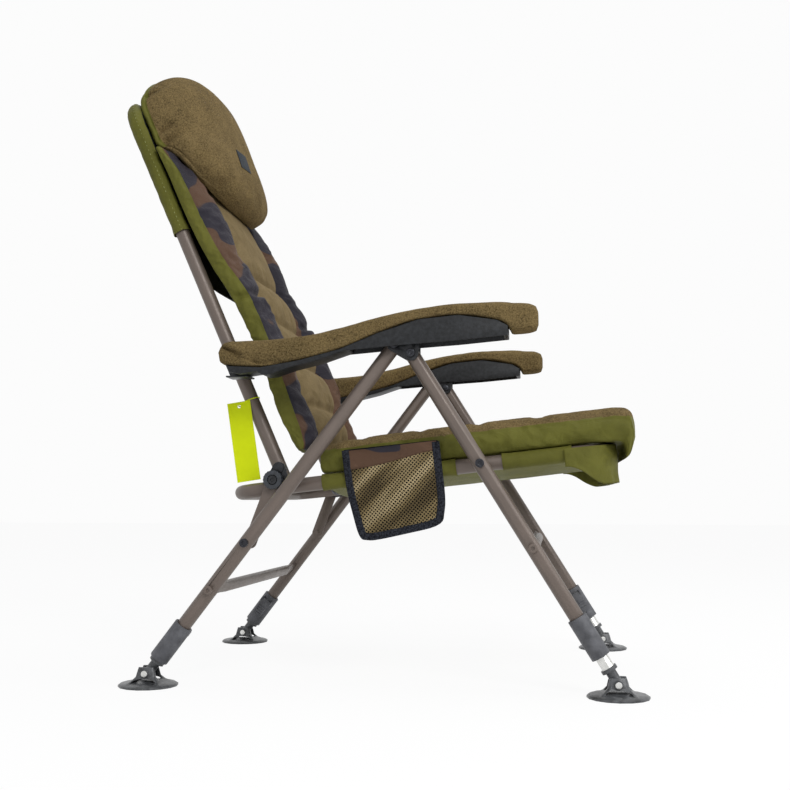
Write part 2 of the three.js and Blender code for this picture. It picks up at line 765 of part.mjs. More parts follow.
// Stretchers: tubes pressed flat at the ends, where a bolt holds them to the legs' inner sides
function stretcher(pin, angle, along) {
  const at = { x: pin.x + along * Math.sin(angle), z: pin.z + along * Math.cos(angle) };
  const end = legHalfSpan - tubeRadius - touchGap;
  const radius = stretcherDiameter / 2;
  const wide = radius * Math.PI / 2 - stretcherFlat / 4;
  const stations = [
    [-end, stretcherFlat / 2, wide, 0], [-end + stretcherFlatLength, stretcherFlat / 2, wide, 0],
    [-end + stretcherFlatLength + stretcherTaper, radius, radius, 0], [0, radius, radius, 0],
    [end - stretcherFlatLength - stretcherTaper, radius, radius, 0],
    [end - stretcherFlatLength, stretcherFlat / 2, wide, 0], [end, stretcherFlat / 2, wide, 0],
  ];
  const alongLeg = { x: Math.sin(angle), z: Math.cos(angle) };
  const rings = stations.map(([y, thick, broad]) => Array.from({ length: tubeFacets }, (_, i) => {
    const turn = 2 * Math.PI * i / tubeFacets;
    const b = broad * Math.cos(turn);
    const t = thick * Math.sin(turn);
    return new THREE.Vector3(at.x + b * alongLeg.x + t * alongLeg.z, y, at.z + b * alongLeg.z - t * alongLeg.x);
  }));
  return { at, geometry: loft(rings) };
}
{
  const inner = legHalfSpan - tubeRadius - touchGap - tubeWall;
  const outer = legHalfSpan + tubeRadius + touchGap;
  [['front', frontPin, frontLegAngle, frontStretcherAlong], ['rear', rearPin, rearLegAngle, rearStretcherAlong]]
    .forEach(([end, pin, angle, along]) => {
      const { at, geometry } = stretcher(pin, angle, along);
      const bolts = sides.map(({ sign }) => bolt(at, sign, inner, outer, false));
      add(`stretcher_${end}`, join(geometry, ...bolts), 'tube');
    });
}

// Bolts that the front legs turn on, with a spacer between seat and leg
{
  const legInner = legHalfSpan - tubeRadius;
  const seatInner = seatTubeHalfSpan - tubeRadius - touchGap;
  const seatOuter = seatTubeHalfSpan + tubeRadius + touchGap;
  sides.forEach(({ name, sign }) => add(`leg_bolt_${name}`, join(
    bolt(seatPivot, sign, seatInner, legHalfSpan + tubeRadius + touchGap),
    pinAcross(seatPivot, spacerRadius, sign * seatOuter, sign * (legInner - touchGap)),
  ), 'bolt'));
}

// Armrests. Shares of the armrest's length and of its rise: top line, and the seam between pad and shell
const padShares = [
  [0, 0.365, 0.339], [0.007, 0.452, 0.2], [0.039, 0.504, 0.148], [0.139, 0.513, 0.122],
  [0.264, 0.557, 0.217], [0.389, 0.67, 0.365], [0.514, 0.817, 0.596], [0.635, 0.922, 0.774],
  [0.758, 0.983, 0.826], [0.877, 0.991, 0.739], [0.91, 0.983, 0.652], [0.921, 0.974, 0.574],
  [0.961, 0.957, 0.583], [0.991, 0.904, 0.617], [1, 0.791, 0.739],
];
const shellStartShare = 0.027;
const shellEndShare = 0.909;
const keelShares = [
  [0.909, 0.513], [0.756, 0.452], [0.574, 0.4], [0.406, 0.339], [0.327, 0.217], [0.233, 0.113],
  [0.171, 0.017], [0.145, 0.009], [0.128, 0.061], [0.11, 0.052], [0.072, 0.026], [0.037, 0.061],
];
const hollowStartShare = 0.418;
const hollowEndShare = 0.895;

const armX = (share) => armRear + share * armLength;
const armZ = (share) => armKeelHeight + share * armRise;

function seamHeight(share) {
  const i = padShares.findIndex(([x]) => x >= share);
  const [x0, , z0] = padShares[i - 1];
  const [x1, , z1] = padShares[i];
  return armZ(z0 + (z1 - z0) * (share - x0) / (x1 - x0));
}

function armPad(centre) {
  const rings = padShares.map(([x, top, seam], i) => {
    const low = armZ(seam);
    const high = armZ(top);
    const end = i === 0 || i === padShares.length - 1;
    const half = armHalfWidth * (end ? 0.72 : 1);
    return Array.from({ length: 16 }, (_, j) => {
      const angle = 2 * Math.PI * j / 16;
      const c = Math.cos(angle);
      const s = Math.sin(angle);
      const y = half * Math.sign(c) * Math.abs(c) ** 0.5;
      const middle = (high + low) / 2;
      const rise = s > 0 ? (high - middle) * s ** 0.55 : (middle - low) * -((-s) ** 0.3);
      const crown = s > 0 && !end ? armCrown * (1 - (y / half) ** 2) : 0;
      return new THREE.Vector3(armX(x), centre + y, middle + rise + crown);
    });
  });
  return loft(rings);
}

function armShell(centre) {
  const seam = [shellStartShare, ...padShares.map(([x]) => x).filter((x) => x > shellStartShare && x < shellEndShare),
    shellEndShare];
  const top = seam.map((x) => ({ x: armX(x), z: seamHeight(x) - touchGap }));
  const keel = keelShares.map(([x, z]) => ({ x: armX(x), z: armZ(z) }));
  const body = plateAcross(shapeOf([...top, ...keel].reverse()), centre - armShellHalfWidth, centre + armShellHalfWidth);
  const roof = [hollowStartShare, ...padShares.map(([x]) => x).filter((x) => x > hollowStartShare && x < hollowEndShare),
    hollowEndShare];
  const hollow = [
    ...roof.map((x) => ({ x: armX(x), z: seamHeight(x) - touchGap - armShellWall })),
    { x: armX(hollowEndShare), z: armKeelHeight }, { x: armX(hollowStartShare), z: armKeelHeight },
  ];
  const half = armShellHalfWidth - armShellWall;
  return cut(body, plateAcross(shapeOf(hollow.reverse()), centre - half, centre + half));
}

// Bracket: two ears over the leg tops, joined by a web that lies under the shell's roof
function armBracket(centre) {
  const inside = tubeRadius + bracketGap;
  const outside = inside + bracketThickness;
  const roofAt = (x) => seamHeight((x - armRear) / armLength) - 2 * touchGap - armShellWall;
  const rearX = rearLegPivot.x - bracketLobe - bracketThickness;
  const frontX = armPivot.x + bracketLobe;
  const ear = beltShape([
    { ...armPivot, r: bracketLobe }, { ...rearLegPivot, r: bracketLobe - bracketGap },
    { x: frontX - bracketThickness, z: roofAt(frontX) - 2 * bracketThickness, r: bracketThickness },
  ], 20);
  const web = shapeOf([
    { x: rearX, z: roofAt(rearX) - bracketThickness }, { x: frontX, z: roofAt(frontX) - bracketThickness },
    { x: frontX, z: roofAt(frontX) }, { x: rearX, z: roofAt(rearX) },
  ]);
  const flank = shapeOf([
    { x: rearLegPivot.x - bracketLobe / 2, z: rearLegPivot.z }, { x: frontX, z: armPivot.z },
    { x: frontX, z: roofAt(frontX) - touchGap }, { x: rearX, z: roofAt(rearX) - touchGap },
  ]);
  const ears = [-1, 1].map((end) => join(
    plateAcross(ear, centre + end * inside, centre + end * outside),
    plateAcross(flank, centre + end * inside, centre + end * outside),
  ));
  return cut(
    join(plateAcross(web, centre - outside, centre + outside), ...ears),
    ...[armPivot, rearLegPivot].map((at) => pinAcross(
      at, boltRadius + touchGap, centre - outside - cutOverrun, centre + outside + cutOverrun,
    )),
  );
}

// Lug under the shell's rear end, turned up beside the pad to the rear pivot
function armLug(centre, sign) {
  const face = centre - sign * (armHalfWidth + touchGap);
  const flangeTop = armZ(0.026) - touchGap;
  const flangeLow = flangeTop - lugFlangeThickness;
  const ear = beltShape([
    { x: armRearPivot.x, z: armRearPivot.z, r: lugRadius },
    { x: armRearPivot.x + lugRadius, z: flangeLow + lugRadius, r: lugRadius },
  ], 20);
  const flange = shapeOf([
    { x: armRearPivot.x + lugRadius / 2, z: flangeLow }, { x: armRearPivot.x + lugFlangeLength, z: flangeLow },
    { x: armRearPivot.x + lugFlangeLength, z: flangeTop }, { x: armRearPivot.x + lugRadius / 2, z: flangeTop },
  ]);
  return join(
    plateAcross(ear, face, face - sign * lugThickness),
    plateAcross(flange, face - sign * lugThickness, face + sign * lugFlangeWidth),
  );
}

sides.forEach(({ name, sign }) => {
  const centre = sign * armHalfSpan;
  const bracketCentre = sign * legHalfSpan;
  const half = tubeRadius + bracketGap + bracketThickness + touchGap;
  add(`armrest_pad_${name}`, armPad(centre), 'fleece');
  add(`armrest_shell_${name}`, armShell(centre), 'plastic');
  add(`armrest_bracket_${name}`, armBracket(bracketCentre), 'plate');
  add(`armrest_lug_${name}`, armLug(centre, sign), 'plate');
  [['front', armPivot], ['rear', rearLegPivot]].forEach(([end, at]) => add(
    `armrest_bolt_${end}_${name}`, bolt(at, sign, legHalfSpan - half, legHalfSpan + half), 'bolt',
  ));
});

// Seat sling: a panel between the side tubes, sewn into sleeves round them, bare where the leg bolts pass
{
  const narrow = seatTubeHalfSpan - tubeRadius - clothThickness / 2;
  const notched = narrow - slingBoltNotch;
  const stations = [
    [slingStart, narrow], [slingGapStart, narrow], [slingGapStart + slingBoltNotch, notched],
    [slingGapEnd - slingBoltNotch, notched], [slingGapEnd, narrow], [seatFrontReach - seatFrontBend, narrow],
    [slingEnd, narrow - slingFrontTaper],
  ];
  const panelRing = (u, reach) => {
    const count = 9;
    const sag = (y) => -slingSag * (1 - (y / seatTubeHalfSpan) ** 2);
    const upper = Array.from({ length: count }, (_, i) => {
      const y = reach * (2 * i / (count - 1) - 1);
      return seatPoint(u, sag(y) + slingThickness / 2, y);
    });
    const lower = Array.from({ length: count }, (_, i) => {
      const y = reach * (1 - 2 * i / (count - 1));
      return seatPoint(u, sag(y) - slingThickness / 2, y);
    });
    return [...upper, ...lower];
  };
  const panel = loft(stations.map(([u, edge]) => panelRing(u, edge)));
  const slack = touchGap / 2;
  const sleeves = sides.flatMap(({ sign }) => [[slingStart, slingGapStart], [slingGapEnd, seatFrontReach - seatFrontBend]]
    .map(([from, to]) => {
      const path = (lead) => [from - lead, to + lead].map((u) => ({
        point: seatPoint(u, 0, sign * seatTubeHalfSpan), along: seatPoint(1, 0, 0).sub(seatPoint(0, 0, 0)),
      }));
      return cut(
        bar(path(0), sleeveClothRadius + slack, acrossSeat, tubeFacets),
        bar(path(cutOverrun), tubeRadius + slack, acrossSeat, tubeFacets),
      );
    }));
  add('seat_sling', join(panel, ...sleeves), 'olive');
}

// Front valance: a hem that follows the front of the seat ring and hangs in shallow folds
{
  const outset = sleeveClothRadius + 2 * touchGap;
  const half = seatTubeHalfSpan + outset;
  const front = seatFrontReach + outset;
  const bend = seatFrontBend + outset;
  const path = roundedPath([
    seatPoint(valanceStart, 0, -half), seatPoint(front, 0, -half), seatPoint(front, 0, half), seatPoint(valanceStart, 0, half),
  ], [0, bend, bend, 0]);
  const dense = [];
  const lengths = [0];
  for (let i = 1; i < path.length; i++) lengths.push(lengths[i - 1] + path[i].point.distanceTo(path[i - 1].point));
  const total = lengths[lengths.length - 1];
  for (let i = 0; i < path.length; i++) {
    dense.push({ ...path[i], at: lengths[i] });
    const gap = (lengths[i + 1] ?? 0) - lengths[i];
    if (gap > 4 * valanceDrop) {
      for (let k = 1; k < 2 * valanceWaves; k++) {
        const t = k / (2 * valanceWaves);
        dense.push({
          point: path[i].point.clone().lerp(path[i + 1].point, t), along: path[i].along, at: lengths[i] + gap * t,
        });
      }
    }
  }
  const rings = dense.map(({ point, along, at }) => {
    const out = along.clone().cross(acrossSeat).normalize();
    const share = Math.min(1, Math.min(at, total - at) / bend);
    const drop = outset + valanceHem + (valanceDrop - valanceHem) * Math.sin(share * Math.PI / 2) ** 2;
    const lean = valanceWave * Math.sin(at / total * valanceWaves * 2 * Math.PI) * share - valanceTuck * share;
    const low = point.clone().addScaledVector(acrossSeat, -drop);
    const mid = point.clone().addScaledVector(acrossSeat, -outset);
    return [
      point.clone().addScaledVector(acrossSeat, outset * 0.6), mid, low.clone().addScaledVector(out, lean),
      low.addScaledVector(out, lean + 2 * clothThickness),
      mid.clone().addScaledVector(out, 2 * clothThickness),
      point.clone().addScaledVector(acrossSeat, outset * 0.6).addScaledVector(out, 2 * clothThickness),
    ];
  });
  add('front_valance', loft(rings), 'olive');
}

// Padding: rings across the chair. Each has a flat low face, upright sides, a border and a middle height.
// Shares: of the half width, of the side's height, of the rise from side to border, and from border to middle
const ringShares = [
  [0.965, 0, 0, 0], [1, 0.2, 0, 0], [1, 0.8, 0, 0], [0.985, 1, 0.3, 0], [0.93, 1, 0.8, 0], [0.78, 1, 1, 0],
  [0.52, 1, 1, 0.6], [0.26, 1, 1, 0.92],
];

function paddedRing(place, { low, side, border, middle, half }) {
  const point = ([wide, up, out, inward], sign) => {
    const height = low + (side - low) * up + (border - side) * out + (middle - border) * inward;
    return place(height, sign * half * wide);
  };
  const flank = ringShares.map((share) => point(share, 1));
  const far = ringShares.map((share) => point(share, -1)).reverse();
  const under = [-0.5, 0, 0.5].map((wide) => place(low, half * wide));
  return [...flank, place(middle, 0), ...far, ...under];
}

// A value between the rows of a table, by its first column
function between(table, at, column) {
  const i = Math.max(1, table.findIndex(([x]) => x >= at));
  const [row, next] = [table[i - 1], table[i]];
  return row[column] + (next[column] - row[column]) * (at - row[0]) / (next[0] - row[0]);
}

const seamDip = (at, pitch, depth) => depth * (1 - Math.abs(Math.sin(Math.PI * at / pitch)) ** 0.6);

// Seat cushion: lies on the ring and rolls down over its front bar.
// Shares of its length for the low and high edge, then of its thickness for both
const seatBaseShares = [
  [0, 0.01, 0.3, 0.6], [0.012, 0.01, 0.1, 0.84], [0.04, 0.04, 0, 0.94], [0.1, 0.1, 0, 1],
  [0.16, 0.16, 0, 1], [0.3, 0.3, 0, 1], [0.36, 0.36, 0, 1], [0.49, 0.49, 0, 1], [0.55, 0.55, 0, 1],
  [0.68, 0.68, 0, 1], [0.74, 0.74, 0, 1], [0.87, 0.87, 0, 1], [0.92, 0.92, 0, 0.99],
  [0.952, 0.965, -0.06, 0.93], [0.957, 0.995, -0.2, 0.76], [0.959, 0.998, -0.35, 0.4],
  [0.958, 0.985, -0.5, 0], [0.955, 0.972, -0.6, -0.45],
];
const frontRollRow = 13;
{
  const low = sleeveClothRadius + 2 * touchGap;
  const seams = [1, 2, 3, 4].map((i) => i * seatSeamPitch / seatCushionLength);
  const flat = seatBaseShares.slice(0, frontRollRow);
  const stations = [...flat, ...seams.map((t) => [t, t, 0, 1])].sort((p, q) => p[0] - q[0])
    .concat(seatBaseShares.slice(frontRollRow));
  const rings = stations.map(([from, to, bottom, top], i) => {
    const dip = from > 0.1 && from < 0.9 ? seamDip(from * seatCushionLength, seatSeamPitch, seatSeamDepth) : 0;
    const start = new THREE.Vector2(seatCushionRear + from * seatCushionLength, low + bottom * seatCushionThickness);
    const end = new THREE.Vector2(seatCushionRear + to * seatCushionLength, low + top * seatCushionThickness);
    const depth = start.distanceTo(end);
    const blunt = Math.min(1, depth / seatCushionThickness);
    const place = (height, y) => {
      const spot = start.clone().lerp(end, height / depth);
      return seatPoint(spot.x, spot.y, y);
    };
    return paddedRing(place, {
      low: 0, side: depth * 0.62, border: depth - dip, middle: depth - dip + seatCushionCrown * blunt ** 2,
      half: seatCushionHalfWidth - (i < 2 || i > stations.length - 3 ? seatCushionCrown : 0) - dip / 2,
    });
  });
  add('seat_cushion', loft(rings), 'fleece');
}

// Back cushion: dished between its side borders and sewn across into puffs.
// Shares of its length, then of its depth for rear face, side edge, border and middle
const backShares = [
  [0, 0.5, 0.6, 0.66, 0.66], [0.015, 0.46, 0.67, 0.84, 0.84], [0.05, 0.43, 0.71, 0.86, 0.88],
  [0.14, 0.42, 0.75, 0.84, 0.93], [0.34, 0.51, 0.82, 0.9, 0.9], [0.48, 0.48, 0.8, 0.93, 0.83],
  [0.53, 0.4, 0.74, 0.89, 0.81], [0.63, 0.3, 0.6, 0.84, 0.8], [0.73, 0.256, 0.48, 0.8, 0.73],
  [0.82, 0.24, 0.41, 0.66, 0.6], [0.94, 0.15, 0.35, 0.5, 0.46], [0.98, 0.15, 0.3, 0.42, 0.4],
  [1, 0.15, 0.22, 0.28, 0.28],
];
{
  const steps = 3;
  const spots = [0, 0.015, 0.985, 1];
  for (let i = 0; i < steps * backCushionLength / backSeamPitch; i++) {
    spots.push((i + steps * 0.86) * backSeamPitch / steps / backCushionLength);
  }
  const stations = spots.filter((t) => t <= 1).sort((p, q) => p - q)
    .filter((t, i, all) => i === 0 || t - all[i - 1] > 0.01);
  const rings = stations.map((t) => {
    const [low, side, border, middle] = [1, 2, 3, 4].map((column) => backCushionDepth * between(backShares, t, column));
    const dip = t > 0.05 && t < 0.98 ? seamDip(t * backCushionLength / backSeamPitch - 0.86, 1, backSeamDepth) : 0;
    const place = (n, y) => backPoint(backCushionStart + t * backCushionLength, n, y);
    return paddedRing(place, {
      low: Math.max(low, sleeveClothRadius + 1.5 * touchGap), side: side - dip / 3, border: border - dip / 2, middle: middle - dip,
      half: backCushionHalfWidth - dip / 3,
    });
  });
  add('back_cushion', loft(rings), 'suede');
}

// Head pillow: a dome over the top of the back, narrowing to its lower and upper edges.
// Shares of its length, then of its depth for rear face and crown, then of its half width
const pillowShares = [
  [0, 0.43, 0.56, 0.14], [0.02, 0.41, 0.66, 0.28], [0.07, 0.39, 0.76, 0.42], [0.14, 0.37, 0.83, 0.58],
  [0.19, 0.35, 0.87, 0.74], [0.26, 0.32, 0.9, 0.88], [0.35, 0.28, 0.93, 0.97], [0.42, 0.24, 0.94, 1],
  [0.48, 0.16, 0.95, 1], [0.6, 0.09, 0.96, 1], [0.72, 0.09, 0.95, 0.99], [0.82, 0.15, 0.91, 0.93], [0.89, 0.25, 0.84, 0.81],
  [0.95, 0.34, 0.75, 0.64], [0.985, 0.4, 0.66, 0.46], [1, 0.46, 0.58, 0.28],
];
{
  const rearFace = sleeveClothRadius + 2 * touchGap;
  const rings = pillowShares.map(([t, rear, crown, wide]) => {
    const low = Math.max(rearFace, pillowDepth * rear);
    const high = pillowDepth * crown;
    const place = (n, y) => backPoint(pillowStart + t * pillowLength, n, y);
    return paddedRing(place, {
      low, side: low + (high - low) * 0.12, border: low + (high - low) * 0.68, middle: high, half: pillowHalfWidth * wide,
    });
  });
  add('head_pillow', loft(rings), 'fleece');
}

// Back cloth: an open sleeve over the hoop's top, and a panel between its tubes
{
  const slack = touchGap / 2;
  const upper = backPath.map((stop, i) => ({
    ...stop,
    point: i === 0 || i === backPath.length - 1
      ? backPoint(sleeveStart, 0, Math.sign(stop.point.y) * backTubeHalfSpan) : stop.point,
  }));
  const core = backPath.map((stop, i) => ({
    ...stop,
    point: i === 0 || i === backPath.length - 1
      ? backPoint(sleeveStart - cutOverrun, 0, Math.sign(stop.point.y) * backTubeHalfSpan) : stop.point,
  }));
  add('back_sleeve', cut(
    bar(upper, sleeveClothRadius + slack, acrossBack, tubeFacets),
    bar(core, tubeRadius + slack, acrossBack, tubeFacets),
  ), 'olive');
  const half = backTubeHalfSpan - sleeveClothRadius - backPanelGap;
  const top = backFrameHeight - sleeveClothRadius - backPanelGap;
  const bend = backTopBend - sleeveClothRadius - backPanelGap;
  const outline = new THREE.Shape();
  outline.moveTo(-half, backPanelStart);
  outline.lineTo(half, backPanelStart);
  outline.lineTo(half, top - bend);
  outline.absarc(half - bend, top - bend, bend, 0, Math.PI / 2, false);
  outline.lineTo(-half + bend, top);
  outline.absarc(-half + bend, top - bend, bend, Math.PI / 2, Math.PI, false);
  const panel = new THREE.ExtrudeGeometry(outline, { depth: backPanelThickness, bevelEnabled: false, curveSegments: 8 })
    .translate(0, 0, -backPanelThickness / 2);
  const basis = new THREE.Matrix4().makeBasis(
    new THREE.Vector3(0, 1, 0), new THREE.Vector3(-Math.sin(lean), 0, Math.cos(lean)), acrossBack,
  ).setPosition(backPivot.x, 0, backPivot.z);
  add('back_panel', panel.applyMatrix4(basis), 'black');
}

// Side pocket: netting in a bound hem, hung beside the seat
{
  const cornerShares = [[0, 0], [1, -0.01], [1, -0.66], [0.94, -0.92], [0.24, -1], [0.09, -0.97], [0.01, -0.45]];
  const outline = cornerShares.map(([x, z]) => new THREE.Vector2(pocketStart + pocketWidth * x, pocketTop + pocketDepth * z));
  const shape = new THREE.Shape(outline);
  const lowest = pocketTop - pocketDepth;
  const half = (pocketMesh - pocketStrand) / Math.SQRT2;
  const pitch = pocketMesh / Math.SQRT2;
  const rows = Math.floor((pocketDepth - pocketHem - pocketBand) / pitch);
  const inside = (p, margin) => outline.every((a, i) => {
    const b = outline[(i + 1) % outline.length];
    const edge = b.clone().sub(a).normalize();
    return (p.x - a.x) * edge.y - (p.y - a.y) * edge.x > margin;
  });
  for (let row = 0; row < rows; row++) {
    for (let x = pocketStart + (row % 2) * pitch; x < pocketStart + pocketWidth; x += 2 * pitch) {
      const centre = new THREE.Vector2(x, lowest + pocketHem + pitch * row);
      if (inside(centre, pocketHem) && centre.y < pocketTop - pocketBand) {
        shape.holes.push(new THREE.Path([[half, 0], [0, half], [-half, 0], [0, -half]]
          .map(([dx, dz]) => new THREE.Vector2(centre.x + dx, centre.y + dz))));
      }
    }
  }
  const near = -(seatTubeHalfSpan + sleeveClothRadius + pocketStandOff);
  const net = new THREE.ExtrudeGeometry(shape, { depth: pocketThickness, bevelEnabled: false })
    .rotateX(Math.PI / 2).rotateY(-slope).translate(backPivot.x, near, backPivot.z);
  add('side_pocket', net, 'mesh');
}

// Blank tag: a holed card, and the loop that hangs it on the back tube
{
  const knot = backPoint(tagHangAlong, 0, -backTubeHalfSpan);
  const across = tubeRadius + tagLoopWire + touchGap - tagLoopRadius;
  const side = tubeRadius + touchGap;
  const reach = across - Math.sqrt(tagLoopRadius ** 2 - side ** 2);
  const loopPath = Array.from({ length: 16 }, (_, i) => {
    const angle = 2 * Math.PI * i / 16;
    const forward = across + tagLoopRadius * Math.cos(angle);
    return {
      point: backPoint(tagHangAlong, forward, -backTubeHalfSpan + tagLoopRadius * Math.sin(angle)),
      along: acrossBack.clone().multiplyScalar(-Math.sin(angle)).add(new THREE.Vector3(0, Math.cos(angle), 0)),
    };
  });
  const normal = new THREE.Vector3(-Math.sin(lean), 0, Math.cos(lean));
  const card = new THREE.Shape([
    [-tagWidth / 2, tagHoleDrop], [-tagWidth / 2, tagHoleDrop - tagLength],
    [tagWidth / 2, tagHoleDrop - tagLength], [tagWidth / 2, tagHoleDrop],
  ].map(([x, z]) => new THREE.Vector2(x, z)));
  card.holes.push(new THREE.Path().absarc(0, 0, tagHole, 0, 2 * Math.PI, true));
  const hung = new THREE.ExtrudeGeometry(card, { depth: tagThickness, bevelEnabled: false, curveSegments: 8 })
    .rotateX(Math.PI / 2).rotateY(-tagTilt * degrees)
    .translate(knot.x + reach * Math.cos(lean), -backTubeHalfSpan - side, knot.z + reach * Math.sin(lean) - tagHole);
  add('hang_tag', join(hung, bar(loopPath, tagLoopWire, normal, 5, true)), 'tag');
}

export default chair;
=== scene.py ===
"""Looks for a folding carp fishing chair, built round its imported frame.

Metres. X points forward, Y to the sitter's left, Z up.
"""

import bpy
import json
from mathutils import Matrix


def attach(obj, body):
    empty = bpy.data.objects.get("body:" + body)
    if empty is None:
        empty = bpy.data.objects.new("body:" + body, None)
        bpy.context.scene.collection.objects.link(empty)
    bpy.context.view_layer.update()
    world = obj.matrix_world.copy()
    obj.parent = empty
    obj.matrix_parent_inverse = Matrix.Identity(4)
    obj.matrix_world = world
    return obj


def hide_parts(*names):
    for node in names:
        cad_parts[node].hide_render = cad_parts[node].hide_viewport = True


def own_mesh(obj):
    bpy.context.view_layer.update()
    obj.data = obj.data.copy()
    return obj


bl_info = {
    "name": "Carp Chair Looks",
    "version": (1, 0, 0),
    "blender": (4, 5, 0),
    "location": "3D View > Sidebar > Chair",
    "description": "Dresses a folding carp chair frame with tubes, padding, cloth and fittings",
    "category": "Add Mesh",
}

import json
import math
from contextlib import contextmanager

import bpy
from mathutils import Matrix, Vector, noise

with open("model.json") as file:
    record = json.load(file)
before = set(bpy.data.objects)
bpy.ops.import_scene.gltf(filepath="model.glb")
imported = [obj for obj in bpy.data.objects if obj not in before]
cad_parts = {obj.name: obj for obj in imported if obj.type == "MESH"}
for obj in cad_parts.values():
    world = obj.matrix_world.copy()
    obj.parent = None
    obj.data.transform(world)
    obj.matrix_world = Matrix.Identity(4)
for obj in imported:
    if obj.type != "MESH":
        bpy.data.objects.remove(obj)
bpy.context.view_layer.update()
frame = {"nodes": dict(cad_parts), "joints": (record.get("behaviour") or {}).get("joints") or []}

# Places that the frame gives
pivots = {joint["name"]: Vector(joint["pos_m"]) for joint in frame["joints"] if "pos_m" in joint}
back_pivot = pivots["back_fold"]
seat_pivot = pivots["front_leg_fold"]
seat_rise = math.atan2(seat_pivot.z - back_pivot.z, seat_pivot.x - back_pivot.x)
sides = {"right": -1, "left": 1}

# Frame sizes; the cushions lie seat_clear above and back_clear ahead of the tubes' middle planes
back_lean = math.radians(23.61)
tube_radius = 0.0125
seat_half = 0.243
back_half = 0.2165
leg_half = 0.289
arm_half = 0.294
hoop_height = 0.776
hoop_bend = 0.055
ring_front = 0.556
ring_rear = 0.089
ring_front_bend = 0.060
ring_rear_bend = 0.052
arm_half_width = 0.031
lug_thickness = 0.0025
touch = 0.0003
back_clear = 0.0148
tube_facets = 40
bend_steps = 14
quarter = math.pi / 2


def seat_point(forward, up, y):
    """A point from the back pivot along the seat's slope and square to it."""
    return back_pivot + Vector((
        forward * math.cos(seat_rise) - up * math.sin(seat_rise), y,
        forward * math.sin(seat_rise) + up * math.cos(seat_rise),
    ))


def back_point(along, forward, y):
    """A point from the back pivot up the leaning back and square to it."""
    return back_pivot + Vector((
        -along * math.sin(back_lean) + forward * math.cos(back_lean), y,
        along * math.cos(back_lean) + forward * math.sin(back_lean),
    ))


seat_forward = (seat_point(1, 0, 0) - seat_point(0, 0, 0)).normalized()
seat_up = (seat_point(0, 1, 0) - seat_point(0, 0, 0)).normalized()
back_along = (back_point(1, 0, 0) - back_point(0, 0, 0)).normalized()
back_forward = (back_point(0, 1, 0) - back_point(0, 0, 0)).normalized()
across = Vector((0, 1, 0))


# Materials

def linear(code):
    """An sRGB hex colour as Blender's linear colour."""
    parts = [int(code[i:i + 2], 16) / 255 for i in (1, 3, 5)]
    return [p / 12.92 if p <= 0.04045 else ((p + 0.055) / 1.055) ** 2.4 for p in parts] + [1.0]


def toned(colour, factor):
    """A linear colour made darker or lighter."""
    return [min(1.0, value * factor) for value in list(colour)[:3]] + [1.0]


def add_node(tree, kind, settings=None, links=None):
    """Adds a node; settings are its own values or its sockets', links are sockets that feed it."""
    node = tree.nodes.new(kind)
    for name, value in (settings or {}).items():
        if isinstance(name, int) or name in node.inputs:
            node.inputs[name].default_value = value
        else:
            setattr(node, name, value)
    for name, source in (links or {}).items():
        tree.links.new(source, node.inputs[name])
    return node


def new_material(name, **shader):
    """A material with one Principled shader, whose sockets are set from words."""
    material = bpy.data.materials.new(name)
    material.use_nodes = True
    tree = material.node_tree
    bsdf = tree.nodes["Principled BSDF"]
    for socket, value in shader.items():
        bsdf.inputs[socket.replace("_", " ")].default_value = value
    return material, tree, bsdf


def grain(tree, size, detail=3.0, rough=0.6, distortion=0.0, shift=(0, 0, 0)):
    """Noise with blotches about size metres across; shift moves it, counted in blotches."""
    coords = add_node(tree, "ShaderNodeTexCoord")
    scaled = add_node(
        tree, "ShaderNodeMapping", {"Scale": (1 / size, 1 / size, 1 / size), "Location": shift},
        {"Vector": coords.outputs["Object"]},
    )
    return add_node(
        tree, "ShaderNodeTexNoise",
        {"Scale": 1.0, "Detail": detail, "Roughness": rough, "Distortion": distortion},
        {"Vector": scaled.outputs["Vector"]},
    ).outputs["Fac"]


def weave(tree, pitch):
    """A checker of raised spots, pitch metres from one to the next, as crossing threads show."""
    turns = 2 * math.pi / pitch
    coords = add_node(tree, "ShaderNodeTexCoord")
    scaled = add_node(
        tree, "ShaderNodeMapping", {"Scale": (turns, turns, turns)}, {"Vector": coords.outputs["Object"]},
    )
    parts = add_node(tree, "ShaderNodeSeparateXYZ", links={"Vector": scaled.outputs["Vector"]}).outputs
    waves = [
        add_node(tree, "ShaderNodeMath", {"operation": "SINE"}, {0: part}).outputs[0] for part in parts
    ]
    level = add_node(tree, "ShaderNodeMath", {"operation": "ADD"}, {0: waves[0], 1: waves[1]})
    return add_node(
        tree, "ShaderNodeMath", {"operation": "MULTIPLY"}, {0: level.outputs[0], 1: waves[2]},
    ).outputs[0]


def layered(tree, *layers):
    """Patterns added up, each times its own share."""
    total = {}
    for pattern, share in layers:
        node = add_node(
            tree, "ShaderNodeMath", {"operation": "MULTIPLY_ADD", 1: share, 2: 0.0},
            {0: pattern, **total},
        )
        total = {2: node.outputs[0]}
    return node.outputs[0]


def paint(tree, bsdf, pattern, stops):
    """Colours a material by a pattern: stops are (value, hex or linear colour)."""
    node = add_node(tree, "ShaderNodeValToRGB", links={"Fac": pattern})
    while len(node.color_ramp.elements) < len(stops):
        node.color_ramp.elements.new(0.5)
    for element, (place, colour) in zip(node.color_ramp.elements, stops):
        element.position = place
        element.color = linear(colour) if isinstance(colour, str) else colour
    tree.links.new(node.outputs["Color"], bsdf.inputs["Base Color"])


def uneven_gloss(tree, bsdf, size, low, high):
    """Roughness that drifts from low to high over blotches of size metres."""
    node = add_node(
        tree, "ShaderNodeMapRange", {"From Min": 0.3, "From Max": 0.7, "To Min": low, "To Max": high},
        {"Value": grain(tree, size)},
    )
    tree.links.new(node.outputs["Result"], bsdf.inputs["Roughness"])


